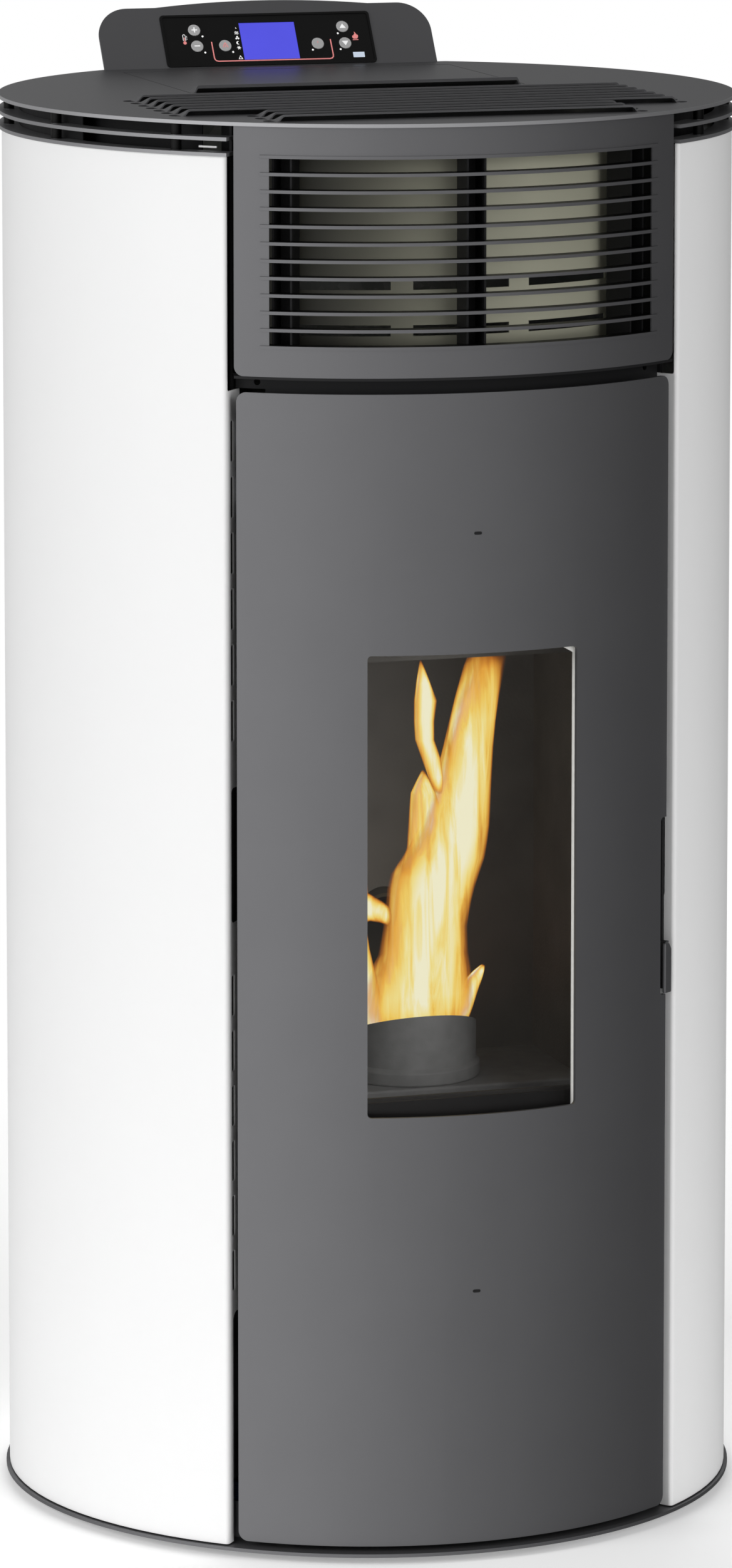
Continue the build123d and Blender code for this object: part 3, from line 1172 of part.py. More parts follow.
def room_fan_wheel():
    """Room fan wheel and its shaft."""
    wheel = Rot(0, 180, 0) * fan_wheel(ROOM_WHEEL_R, 46.0)
    wheel = Pos(ROOM_FAN_X[1] - 8, *ROOM_FAN) * wheel
    return wheel + rod(FAN_SHAFT_R, (ROOM_FAN_X[1] - 20, *ROOM_FAN), (ROOM_FAN_X[1] + 30, *ROOM_FAN))


def fan_motors():
    """One motor for each fan, flanged to its housing."""
    flue_x, room_x = FLUE_FAN_X[0], ROOM_FAN_X[1]
    flue = rod(FLUE_MOTOR[0], (flue_x - FLUE_MOTOR[1], *FLUE_FAN), (flue_x, *FLUE_FAN))
    flue -= rod(FAN_SHAFT_R + SHAFT_FIT, (flue_x - 41, *FLUE_FAN), (flue_x + 1, *FLUE_FAN))
    room = rod(ROOM_MOTOR[0], (room_x, *ROOM_FAN), (room_x + ROOM_MOTOR[1], *ROOM_FAN))
    room -= rod(FAN_SHAFT_R + SHAFT_FIT, (room_x - 1, *ROOM_FAN), (room_x + 31, *ROOM_FAN))
    return Compound([flue, room])


# ------------------------------------------------------------ control panel
def control_frame():
    """Plane on the front face of the control panel: x right, y up the slope."""
    lean = radians(CONTROL_LEAN)
    return Plane((0, CONTROL_Y, TOP_Z), x_dir=(1, 0, 0), z_dir=(0, -cos(lean), sin(lean)))


def panel_block(x, s, n, corner=0.0):
    """Block on the control panel: limits across, up the slope and along its normal."""
    middle = ((x[0] + x[1]) / 2, (s[0] + s[1]) / 2)
    size = (x[1] - x[0], s[1] - s[0])
    outline = RectangleRounded(*size, corner) if corner > 0 else Rectangle(*size)
    return Pos(0, 0, n[0]) * extrude(Pos(*middle) * outline, n[1] - n[0])


def bezel_plug(gap):
    """Limits of the part of the bezel that passes through the panel."""
    inset = BEZEL_PLUG_IN - gap
    return (BEZEL_X[0] + inset, BEZEL_X[1] - inset), (BEZEL_S[0] + inset, BEZEL_S[1] - inset)


def control_panel():
    """Leaning sheet with rounded shoulders, a shallow crown and a rear skirt."""
    x0, x1 = CONTROL_X
    middle = (x0 + x1) / 2
    corner = CONTROL_SHOULDER - CONTROL_SIDE
    left, right = middle - CONTROL_HUMP_HALF, middle + CONTROL_HUMP_HALF
    outline = [
        Line((x0, 0), (x0, CONTROL_SIDE)),
        TangentArc((x0, CONTROL_SIDE), (x0 + corner, CONTROL_SHOULDER), tangent=(0, 1)),
        Line((x0 + corner, CONTROL_SHOULDER), (left, CONTROL_SHOULDER)),
        ThreePointArc((left, CONTROL_SHOULDER), (middle, CONTROL_PEAK), (right, CONTROL_SHOULDER)),
        Line((right, CONTROL_SHOULDER), (x1 - corner, CONTROL_SHOULDER)),
        TangentArc((x1 - corner, CONTROL_SHOULDER), (x1, CONTROL_SIDE), tangent=(1, 0)),
        Line((x1, CONTROL_SIDE), (x1, 0)),
        Line((x1, 0), (x0, 0)),
    ]
    sheet = extrude(make_face(outline), -CONTROL_T)
    sheet -= panel_block(*bezel_plug(0.3), (-CONTROL_T - 1, 1))
    sheet = control_frame() * sheet
    sheet -= slab((-200, 200), (CONTROL_Y - 10, BODY_R), (TOP_Z - 10, TOP_Z))
    skirt = slab((x0 + 12, x1 - 12), (BACK_Y, BACK_Y + 1.5), (TOP_Z - CONTROL_SKIRT, TOP_Z))
    link = slab((x0 + 12, x1 - 12), (CONTROL_Y + 1.0, BACK_Y + 1.5), (TOP_Z, TOP_Z + 1.2))
    return sheet + skirt + link


def display_bezel():
    """Black moulding with a stepped face, a screen window and button holes."""
    bezel = panel_block(BEZEL_X, BEZEL_S, (0, BEZEL_PROUD), 3.0)
    step_x = (BEZEL_X[0] + BEZEL_STEP, BEZEL_X[1] - BEZEL_STEP)
    step_s = (BEZEL_S[0] + BEZEL_STEP, BEZEL_S[1] - BEZEL_STEP)
    bezel -= panel_block(step_x, step_s, (BEZEL_FACE, BEZEL_PROUD + 1), 2.0)
    bezel += panel_block(*bezel_plug(0.0), (-BEZEL_DEPTH, BEZEL_FACE))
    bezel -= panel_block(SCREEN_X, SCREEN_S, (-BEZEL_DEPTH - 1, BEZEL_PROUD + 1))
    hole = extrude(Circle(BUTTON_R + BUTTON_FIT), 20, both=True)
    bezel -= [Pos(x, s) * hole for x, s in BUTTONS.values()]
    return control_frame() * bezel


def display_screen():
    """Screen in the window of the bezel."""
    x = (SCREEN_X[0] + SCREEN_FIT, SCREEN_X[1] - SCREEN_FIT)
    s = (SCREEN_S[0] + SCREEN_FIT, SCREEN_S[1] - SCREEN_FIT)
    return control_frame() * panel_block(x, s, (-BEZEL_DEPTH, BEZEL_FACE - 0.5))


def display_cover():
    """Shallow housing behind the panel with a switch under each button."""
    x = (BEZEL_X[0] + 1.7, BEZEL_X[1] - 1.7)
    s = (6.0, BEZEL_S[1] - 1.0)
    cover = panel_block(x, s, (-COVER_DEPTH, -CONTROL_T), 3.0)
    inner_x, inner_s = (x[0] + COVER_T, x[1] - COVER_T), (s[0] + COVER_T, s[1] - COVER_T)
    cover -= panel_block(inner_x, inner_s, (COVER_T - COVER_DEPTH, 0))
    plug_x, plug_s = bezel_plug(0.3)
    cover -= panel_block(plug_x, plug_s, (-BEZEL_DEPTH - 0.3, 0))
    height = COVER_DEPTH - BUTTON_BACK - BUTTON_TRAVEL - 0.05
    boss = Pos(0, 0, -COVER_DEPTH) * extrude(Circle(2.5), height)
    cover += [Pos(bx, bs) * boss for bx, bs in BUTTONS.values()]
    return control_frame() * cover


def button(centre):
    """Round button that slides in the bezel."""
    cap = Pos(0, 0, -BUTTON_BACK) * extrude(Circle(BUTTON_R), BUTTON_BACK + BUTTON_FRONT)
    cap = fillet(cap.edges().sort_by(Axis.Z)[-1], 0.5)
    return control_frame() * (Pos(*centre) * cap)


# -------------------------------------------------------------- mains inlet
def power_inlet():
    """Inlet socket with a switch well, in the rear panel."""
    y = (REAR_FLANGE_Y - INLET_D, REAR_FLANGE_Y + PANEL_T)
    half = INLET_W / 2 - 0.2
    body = slab((-half, half), y, (0.2 - INLET_H / 2, INLET_H / 2 - 0.2))
    face = rounded_prism((-half - 3, half + 3), (-INLET_H / 2 - 3, INLET_H / 2 + 3), (y[1], y[1] + 2), 3.0)
    body += face
    body -= rounded_prism((-12, 12), (-INLET_H / 2 + 4, -INLET_H / 2 + 20), (y[1] - 16, y[1] + 3), 2.0)
    for x in (-7, 0, 7):
        body += slab((x - 1, x + 1), (y[1] - 17, y[1] - 1), (-INLET_H / 2 + 10, -INLET_H / 2 + 14))
    well = (ROCKER_W / 2 + 0.5, ROCKER_H / 2 + 0.8)
    body -= slab((-well[0], well[0]), (y[1] - 9, y[1] + 3), (ROCKER_UP - well[1], ROCKER_UP + well[1]))
    pin = rod(ROCKER_PIN_R, (-well[0], y[1] - 2, ROCKER_UP), (well[0], y[1] - 2, ROCKER_UP))
    return Pos(INLET_X, 0, INLET_Z) * (body + pin)


def power_rocker():
    """Rocker of the mains switch."""
    y = REAR_FLANGE_Y + PANEL_T
    half_w, half_h = ROCKER_W / 2, ROCKER_H / 2
    side = Polyline((-4, -half_h + 2), (2.5, -half_h), (1.6, 0), (2.5, half_h), (-4, half_h - 2), close=True)
    rocker = extrude(Plane.YZ * make_face(side.edges()), half_w, both=True)
    rocker -= rod(ROCKER_PIN_R + SHAFT_FIT, (-ROCKER_W, -2, 0), (ROCKER_W, -2, 0))
    return Pos(INLET_X, y, INLET_Z + ROCKER_UP) * rocker


# -------------------------------------------------------------------- write
def build():
    """Make every sub-part and write it."""
    right = side_panel()
    save("side_panel_right", right)
    save("side_panel_left", mirror(right, Plane.YZ))
    makers = (
        base_plate, levelling_feet, rear_panel, frame_posts, top_plate, trim_rings,
        grille_frame, grille_slats, grille_brackets, warm_air_wall, front_rail,
        door_skin, door_frame, door_glass, glass_strips, door_seal, door_hinge_leaves,
        hinge_brackets, door_handle, latch_striker, firebox_body, firebox_liner,
        hearth_plate, burn_pot, igniter, ash_drawer, baffle_plate, firebox_plinth,
        heat_exchanger, hopper, hopper_grid, hopper_lid, lid_hinges, auger_tube,
        auger_screw, auger_motor, pellet_chute, flue_duct, flue_fan_housing,
        flue_fan_wheel, exhaust_pipe, air_inlet_pipe, room_fan_housing, room_fan_wheel,
        fan_motors, control_panel, display_bezel, display_screen, display_cover,
        power_inlet, power_rocker,
    )
    for make in makers:
        save(make.__name__, make())
    for name, centre in BUTTONS.items():
        save(name, button(centre))


build()
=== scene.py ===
"""Looks of a round pellet stove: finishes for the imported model, the pieces that only the eye needs, and the studio."""

import json
import logging
import math
import random
from dataclasses import dataclass
from enum import Enum
from typing import Any, Optional, Sequence

import bmesh
import bpy
from mathutils import Matrix, Vector


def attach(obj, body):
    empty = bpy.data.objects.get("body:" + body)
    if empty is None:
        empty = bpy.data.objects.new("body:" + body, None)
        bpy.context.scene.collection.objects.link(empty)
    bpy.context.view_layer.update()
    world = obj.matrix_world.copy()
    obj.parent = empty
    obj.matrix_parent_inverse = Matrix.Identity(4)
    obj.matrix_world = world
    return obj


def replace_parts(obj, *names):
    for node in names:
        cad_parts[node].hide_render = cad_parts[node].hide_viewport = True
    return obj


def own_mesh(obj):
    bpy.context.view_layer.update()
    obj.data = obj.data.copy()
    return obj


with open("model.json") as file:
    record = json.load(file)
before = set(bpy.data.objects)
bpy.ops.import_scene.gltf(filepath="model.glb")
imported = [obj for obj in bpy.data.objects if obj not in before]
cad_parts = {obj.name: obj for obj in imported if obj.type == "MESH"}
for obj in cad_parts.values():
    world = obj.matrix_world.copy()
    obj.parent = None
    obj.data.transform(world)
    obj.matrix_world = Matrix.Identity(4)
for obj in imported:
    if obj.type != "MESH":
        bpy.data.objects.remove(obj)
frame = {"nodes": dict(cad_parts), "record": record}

LOG = logging.getLogger("stove")
MM = 0.001
HAIR = 1e-6  # a thousandth of a millimetre, in metres
Point = Sequence[float]
Stops = Sequence[tuple[float, Point]]
Pair = tuple[float, float]
Pairs = tuple[Pair, ...]
Triple = tuple[float, float, float]
Colour = tuple[float, float, float, float]
Mesh = bmesh.types.BMesh
Node = bpy.types.Node
Piece = bpy.types.Object
Tree = bpy.types.NodeTree


class Body(Enum):
    """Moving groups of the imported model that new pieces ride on."""

    CABINET = "cabinet"
    DOOR = "door"
    HANDLE = "handle"
    POT = "pot"


class Slot(Enum):
    """Material slots of the record that new pieces belong to."""

    PAINT = "black_paint"
    STEEL = "steel"
    FIBRE = "fibre"
    PLASTIC = "black_plastic"
    BUTTON = "button_metal"
    BOARD = "board"


# ------------------------------------------------------------------ helpers
def srgb(colour: str) -> Colour:
    """Turn an sRGB hex colour into the linear values that Blender takes.

    Args:
        colour: six hex digits after a hash sign.

    Returns:
        Linear red, green and blue with full alpha.
    """
    values = [int(colour[i:i + 2], 16) / 255 for i in (1, 3, 5)]
    linear = [v / 12.92 if v <= 0.04045 else ((v + 0.055) / 1.055) ** 2.4 for v in values]
    return linear[0], linear[1], linear[2], 1.0


def grey(level: float) -> Colour:
    """Return a neutral linear colour."""
    return level, level, level, 1.0


def per_metre(size_mm: float) -> float:
    """Return the scale that gives a pattern cells of a size in millimetres."""
    return 1.0 / (size_mm * MM)


def polar(radius: float, angle: float, z: float = 0.0) -> Vector:
    """Place a point round the stove's axis.

    Args:
        radius: distance from the axis in millimetres.
        angle: degrees from the front centre, positive to the right.
        z: height in millimetres.

    Returns:
        The point in metres.
    """
    turn = math.radians(angle - 90.0)
    return Vector((radius * math.cos(turn), radius * math.sin(turn), z)) * MM


def add_node(tree: Tree, kind: str, inputs: Optional[dict[Any, Any]] = None,
             links: Optional[dict[Any, Any]] = None, stops: Stops = (),
             into: Optional[bpy.types.NodeSocket] = None, **settings: Any) -> Node:
    """Add a node with its settings, values and links.

    Args:
        tree: node tree that gets the node.
        kind: Blender's name of the node type after its ShaderNode.
        inputs: values by input name or number.
        links: what feeds an input, by its name or number: a socket, or a node for its first output.
        stops: a ramp's places from 0 to 1, each with a linear colour.
        into: socket that the node's first output feeds.
        **settings: attributes of the node.

    Returns:
        The new node.
    """
    node = tree.nodes.new("ShaderNode" + kind)
    for name, value in settings.items():
        setattr(node, name, value)
    for name, value in (inputs or {}).items():
        node.inputs[name].default_value = value
    for name, source in (links or {}).items():
        tree.links.new(source.outputs[0] if isinstance(source, Node) else source, node.inputs[name])
    if stops:
        elements = node.color_ramp.elements
        while len(elements) < len(stops):
            elements.new(0.5)
        for element, (place, colour) in zip(elements, stops):
            element.position, element.color = place, colour
    if into is not None:
        tree.links.new(node.outputs[0], into)
    return node


def new_material(name: str, colour: Point, roughness: float, metallic: float) -> tuple[bpy.types.Material, Tree, Node]:
    """Start a material.

    Args:
        name: its name.
        colour: linear base colour.
        roughness: roughness of its surface.
        metallic: share of metal.

    Returns:
        The material, its tree and its surface shader.
    """
    material = bpy.data.materials.new(name)
    material.use_nodes = True
    shader = material.node_tree.nodes["Principled BSDF"]
    for socket, value in (("Base Color", colour), ("Roughness", roughness), ("Metallic", metallic)):
        shader.inputs[socket].default_value = value
    return material, material.node_tree, shader


def new_object(name: str, data: Any) -> Piece:
    """Put an object with some data in the scene.

    Args:
        name: name of the object, and of its mesh where data is a bmesh.
        data: a bmesh, freed here, or a lamp's or camera's data.

    Returns:
        The new object, at the origin.
    """
    if isinstance(data, Mesh):
        shape, data = data, bpy.data.meshes.new(name)
        shape.to_mesh(data)
        shape.free()
    made = bpy.data.objects.new(name, data)
    bpy.context.scene.collection.objects.link(made)
    return made


# ----------------------------------------------------------------- finishes
@dataclass(frozen=True)
class Finish:
    """One real surface: its colour, gloss and metal, before any pattern."""

    name: str
    colour: str
    roughness: float = 0.5
    metallic: float = 0.0

    def material(self) -> bpy.types.Material:
        """Find the material of this finish, or make it on first use.

        Returns:
            The material.
        """
        found = bpy.data.materials.get(self.name)
        if found is None:
            found, tree, shader = new_material(self.name, srgb(self.colour), self.roughness, self.metallic)
            found.diffuse_color = srgb(self.colour)
            self.paint(tree, shader)
        return found

    def paint(self, tree: Tree, shader: Node) -> None:
        """Add this finish's pattern; the plain finish has none."""

    def place(self, tree: Tree) -> bpy.types.NodeSocket:
        """Return object coordinates, in metres."""
        return add_node(tree, "TexCoord").outputs["Object"]

    def tone(self, share: float) -> list[float]:
        """Return the linear colour at a share of its brightness."""
        return [min(1.0, c * share) for c in srgb(self.colour)[:3]] + [1.0]

    def mottle(self, tree: Tree, shader: Node, size_mm: float, spread: float,
               place: Optional[Node] = None) -> Node:
        """Vary the colour a little round its value.

        Args:
            tree: the material's tree.
            shader: its surface shader.
            size_mm: width of a patch.
            spread: largest share by which the colour gets lighter or darker.
            place: coordinates of the pattern, the object's own by default.

        Returns:
            The noise node.
        """
        noise = add_node(tree, "TexNoise", {"Scale": per_metre(size_mm), "Detail": 4.0},
                         {"Vector": place or self.place(tree)})
        add_node(tree, "ValToRGB", links={"Fac": noise}, into=shader.inputs["Base Color"],
                 stops=((0.3, self.tone(1 - spread)), (0.7, self.tone(1 + spread))))
        return noise

    def emboss(self, tree: Tree, shader: Node, height: Any, depth_mm: float) -> None:
        """Feed a height pattern to the shader's normal as a relief of that depth."""
        add_node(tree, "Bump", {"Distance": depth_mm * MM, "Strength": 1.0}, {"Height": height},
                 into=shader.inputs["Normal"])


@dataclass(frozen=True)
class Grained(Finish):
    """A surface of one grain: soft patches of tone under a fine relief."""

    patch_mm: float = 60.0
    patchiness: float = 0.02
    grain_mm: float = 1.4
    grain_detail: float = 2.0
    grain_depth_mm: float = 0.02
    specular: float = 0.5
    sheen: float = 0.0

    def paint(self, tree: Tree, shader: Node) -> None:
        """Lay the patches and raise the grain.

        Args:
            tree: the material's tree.
            shader: its surface shader.
        """
        shader.inputs["Specular IOR Level"].default_value = self.specular
        shader.inputs["Sheen Weight"].default_value = self.sheen
        self.mottle(tree, shader, self.patch_mm, self.patchiness)
        grain = add_node(tree, "TexNoise", {"Scale": per_metre(self.grain_mm), "Detail": self.grain_detail},
                         {"Vector": self.place(tree)})
        self.emboss(tree, shader, grain, self.grain_depth_mm)


@dataclass(frozen=True)
class PowderCoat(Grained):
    """Powder-coated sheet steel: matt, with an orange peel that softens every highlight."""


@dataclass(frozen=True)
class StackedCoat(PowderCoat):
    """Powder coat of the trim rings, with painted shade: near black at the heights between the sheets, where shade
    falls.
    """

    # painted shade: the tone of the heights between the ring sheets
    gap_shade_tone: str = "#0c0c0c"
    levels: tuple[float, ...] = (1048.9, 1057.4, 1060.3, 1068.8)
    margin: float = 5.0

    def paint(self, tree: Tree, shader: Node) -> None:
        """Coat the sheets and paint the heights between them near black as painted shade.

        Args:
            tree: the material's tree.
            shader: its surface shader.
        """
        super().paint(tree, shader)
        parts = add_node(tree, "SeparateXYZ", links={"Vector": self.place(tree)})
        low, high = self.levels[0] - self.margin, self.levels[-1] + self.margin
        share = add_node(tree, "MapRange", {"From Min": low * MM, "From Max": high * MM},
                         {"Value": parts.outputs["Z"]})
        tones = [srgb(self.colour), srgb(self.gap_shade_tone)]
        stops = [(0.0, tones[0])]
        stops += [((z - low) / (high - low), tones[(i + 1) % 2]) for i, z in enumerate(self.levels)]
        ramp = add_node(tree, "ValToRGB", links={"Fac": share}, stops=stops, into=shader.inputs["Base Color"])
        ramp.color_ramp.interpolation = "CONSTANT"


@dataclass(frozen=True)
class RimCoat(PowderCoat):
    """Powder coat graded by distance from the axis between a tone on a part's outer rim and another on the flats
    behind it: painted shade on the flats of the slats, a painted highlight on the plate's rim.
    """

    # painted shade: the near-black default stands for the shade on flats behind a lit front edge
    flats: str = "#141415"
    rim_radii: Pair = (275.6, 276.9)

    def paint(self, tree: Tree, shader: Node) -> None:
        """Grade the coat from the flats to the rim by the distance from the stove's axis.

        Args:
            tree: the material's tree.
            shader: its surface shader.
        """
        super().paint(tree, shader)
        level = add_node(tree, "VectorMath", {1: (1.0, 1.0, 0.0)}, {0: self.place(tree)}, operation="MULTIPLY")
        reach = add_node(tree, "VectorMath", links={0: level}, operation="LENGTH")
        share = add_node(tree, "MapRange", {"From Min": self.rim_radii[0] * MM, "From Max": self.rim_radii[1] * MM},
                         {"Value": reach.outputs["Value"]})
        add_node(tree, "ValToRGB", links={"Fac": share}, into=shader.inputs["Base Color"],
                 stops=((0.0, srgb(self.flats)), (1.0, srgb(self.colour))))


@dataclass(frozen=True)
class GalvanisedSheet(Finish):
    """Hot-dip zinc: spangles of crystals that differ in tone and gloss."""

    spangle_mm: float = 9.0
    tones: Pair = (0.82, 1.15)
    gloss: Pair = (-0.08, 0.1)

    def paint(self, tree: Tree, shader: Node) -> None:
        """Tone the crystals one by one.

        Args:
            tree: the material's tree.
            shader: its surface shader.
        """
        cells = add_node(tree, "TexVoronoi", {"Scale": per_metre(self.spangle_mm)}, {"Vector": self.place(tree)})
        chance = add_node(tree, "SeparateColor", links={"Color": cells.outputs["Color"]})
        add_node(tree, "ValToRGB", links={"Fac": chance.outputs["Red"]}, into=shader.inputs["Base Color"],
                 stops=((0.0, self.tone(self.tones[0])), (1.0, self.tone(self.tones[1]))))
        low, high = [self.roughness + step for step in self.gloss]
        add_node(tree, "MapRange", {"To Min": low, "To Max": high}, {"Value": chance.outputs["Green"]},
                 into=shader.inputs["Roughness"])


@dataclass(frozen=True)
class ShadedPlatedSheet(Finish):
    """Plated sheet behind the grille, yellowed by warm air, with painted shade that darkens it towards its left side.
    """

    # painted shade: the tone at the sheet's left side
    painted_shade: str = "#3b3a33"
    reach_mm: Pair = (-110.0, 90.0)
    cloud_mm: float = 90.0
    cloudiness: float = 0.12

    def paint(self, tree: Tree, shader: Node) -> None:
        """Grade the sheet from painted shade at its left to its plain tone at its right, with faint clouds.

        Args:
            tree: the material's tree.
            shader: its surface shader.
        """
        place = self.place(tree)
        parts = add_node(tree, "SeparateXYZ", links={"Vector": place})
        share = add_node(tree, "MapRange", {"From Min": self.reach_mm[0] * MM, "From Max": self.reach_mm[1] * MM},
                         {"Value": parts.outputs["X"]}, interpolation_type="SMOOTHSTEP")
        clouds = add_node(tree, "TexNoise", {"Scale": per_metre(self.cloud_mm), "Detail": 2.0}, {"Vector": place})
        cloudy = add_node(tree, "Math", {1: self.cloudiness}, {0: clouds, 2: share}, operation="MULTIPLY_ADD")
        add_node(tree, "ValToRGB", links={"Fac": cloudy}, into=shader.inputs["Base Color"],
                 stops=((0.06, srgb(self.painted_shade)), (1.0, srgb(self.colour))))


@dataclass(frozen=True)
class MilledSteel(Finish):
    """Bare or plated steel with rolling marks along its length."""

    mark_mm: float = 0.5  # real marks are 0.1 mm wide; drawn coarser, or they would not show
    mark_stretch: float = 0.06
    mark_depth_mm: float = 0.01
    contrast: float = 0.14

    def paint(self, tree: Tree, shader: Node) -> None:
        """Draw the marks long and thin, upright.

        Args:
            tree: the material's tree.
            shader: its surface shader.
        """
        stretch = add_node(tree, "Mapping", {"Scale": (1.0, 1.0, self.mark_stretch)}, {"Vector": self.place(tree)})
        marks = self.mottle(tree, shader, self.mark_mm, self.contrast, stretch)
        self.emboss(tree, shader, marks, self.mark_depth_mm)


@dataclass(frozen=True)
class CastIron(Grained):
    """Sand-cast iron: dull grey with the grain of the mould."""

    patch_mm: float = 14.0
    patchiness: float = 0.1
    grain_mm: float = 1.8  # sand grains are 0.3 mm; drawn coarser, or they would not show
    grain_detail: float = 5.0
    grain_depth_mm: float = 0.12


@dataclass(frozen=True)
class VermiculiteBoard(Finish):
    """Pressed vermiculite, sooty from the fire: flakes under wide patches of soot."""

    soot_mm: float = 70.0
    soot: float = 0.16
    flake_mm: float = 2.5
    flake_depth_mm: float = 0.15
    specular: float = 0.2

    def paint(self, tree: Tree, shader: Node) -> None:
        """Lay soot over the flakes and press them in.

        Args:
            tree: the material's tree.
            shader: its surface shader.
        """
        shader.inputs["Specular IOR Level"].default_value = self.specular
        self.mottle(tree, shader, self.soot_mm, self.soot)
        flakes = add_node(tree, "TexVoronoi", {"Scale": per_metre(self.flake_mm)}, {"Vector": self.place(tree)})
        self.emboss(tree, shader, flakes.outputs["Distance"], self.flake_depth_mm)


@dataclass(frozen=True)
class CeramicGlass(Finish):
    """Clear ceramic glass with a faint brown body colour, seen through."""

    cover: float = 0.12
    specular: float = 0.6
    haze_mm: float = 40.0
    haze: float = 0.1

    def paint(self, tree: Tree, shader: Node) -> None:
        """Let most of the light through and keep a soft gloss with a little haze.

        Args:
            tree: the material's tree.
            shader: its surface shader.
        """
        shader.inputs["Alpha"].default_value = self.cover
        shader.inputs["Specular IOR Level"].default_value = self.specular
        self.mottle(tree, shader, self.haze_mm, self.haze)


@dataclass(frozen=True)
class MineralFelt(Grained):
    """White ceramic-fibre felt: a soft nap with a sheen."""

    patch_mm: float = 5.0
    patchiness: float = 0.05
    grain_mm: float = 0.9  # fibres are far finer; drawn as tufts, or they would not show
    grain_detail: float = 6.0
    grain_depth_mm: float = 0.2
    sheen: float = 0.3


@dataclass(frozen=True)
class BraidedRope(Finish):
    """Knitted glass-fibre rope: crossing strands, grey-white, with painted shade darkening the grooves between them.
    """

    strand_mm: float = 4.0
    strand_depth_mm: float = 0.8
    # painted shade: share of the tone in the grooves between strands
    between: float = 0.45

    def paint(self, tree: Tree, shader: Node) -> None:
        """Cross two sets of strands at 45 degrees over the upright plane of the door.

        Args:
            tree: the material's tree.
            shader: its surface shader.
        """
        place = self.place(tree)
        heights = []
        for lean in (45.0, -45.0):
            turn = add_node(tree, "Mapping", {"Rotation": (0.0, math.radians(lean), 0.0)}, {"Vector": place})
            strands = add_node(tree, "TexWave", {"Scale": per_metre(self.strand_mm) / math.tau, "Distortion": 0.6},
                               {"Vector": turn}, bands_direction="X")
            heights.append(strands.outputs["Fac"])
        weave = add_node(tree, "Math", links=dict(enumerate(heights)), operation="MAXIMUM")
        add_node(tree, "ValToRGB", links={"Fac": weave}, into=shader.inputs["Base Color"],
                 stops=((0.45, self.tone(self.between)), (0.95, self.tone(1.0))))
        self.emboss(tree, shader, weave, self.strand_depth_mm)


@dataclass(frozen=True)
class MouldedPart(Grained):
    """Part from a mould with a spark-eroded grain."""

    patch_mm: float = 25.0
    patchiness: float = 0.06
    grain_mm: float = 0.8  # the real grain is 0.1 mm; drawn coarser, or it would not show
    grain_detail: float = 3.0
    grain_depth_mm: float = 0.015


@dataclass(frozen=True)
class TurnedButton(Grained):
    """Satin button cap: zinc-plated, lively from turning."""

    patch_mm: float = 0.8  # turning marks are 0.05 mm; drawn coarser, or they would not show
    patchiness: float = 0.05
    grain_mm: float = 0.8
    grain_detail: float = 4.0
    grain_depth_mm: float = 0.01


@dataclass(frozen=True)
class LitScreen(Finish):
    """Backlit liquid-crystal display: an even violet blue that glows by itself."""

    strength: float = 1.0
    unlit: str = "#101018"
    cloud_mm: float = 30.0
    unevenness: float = 0.03

    def paint(self, tree: Tree, shader: Node) -> None:
        """Glow in the finish's colour, a little uneven as a backlight is.

        Args:
            tree: the material's tree.
            shader: its surface shader.
        """
        noise = add_node(tree, "TexNoise", {"Scale": per_metre(self.cloud_mm), "Detail": 1.0},
                         {"Vector": self.place(tree)})
        add_node(tree, "ValToRGB", links={"Fac": noise}, into=shader.inputs["Emission Color"],
                 stops=((0.25, self.tone(1 - self.unevenness)), (0.75, self.tone(1 + self.unevenness))))
        shader.inputs["Emission Strength"].default_value = self.strength
        shader.inputs["Base Color"].default_value = srgb(self.unlit)


@dataclass(frozen=True)
class PrintedInk(Finish):
    """Screen-printed ink, or a diode that glows through it; on ink with no diode behind it, the glow is a painted
    glow.
    """

    # emission: from a diode behind the ink, or a painted glow on plain print
    glow: float = 0.0
    speckle_mm: float = 0.6  # the screen's mesh is 0.1 mm; drawn coarser, or it would not show
    speckle: float = 0.06

    def paint(self, tree: Tree, shader: Node) -> None:
        """Let the ink glow by its share, with the speckle of the screen.

        Args:
            tree: the material's tree.
            shader: its surface shader.
        """
        self.mottle(tree, shader, self.speckle_mm, self.speckle)
        shader.inputs["Emission Color"].default_value = srgb(self.colour)
        shader.inputs["Emission Strength"].default_value = self.glow


@dataclass(frozen=True)
class WoodEmbers(Finish):
    """Glowing pellets: dark ash crust over an orange heart."""

    crust_mm: float = 7.0
    heats: tuple[tuple[float, str], ...] = ((0.4, "#1a0d07"), (0.52, "#c2410c"), (0.68, "#ffb648"))

    def paint(self, tree: Tree, shader: Node) -> None:
        """Let the heart glow between patches of ash.

        Args:
            tree: the material's tree.
            shader: its surface shader.
        """
        noise = add_node(tree, "TexNoise", {"Scale": per_metre(self.crust_mm), "Detail": 4.0},
                         {"Vector": self.place(tree)})
        add_node(tree, "ValToRGB", links={"Fac": noise}, into=shader.inputs["Emission Color"],
                 stops=[(at, srgb(colour)) for at, colour in self.heats])
        shader.inputs["Emission Strength"].default_value = 1.0


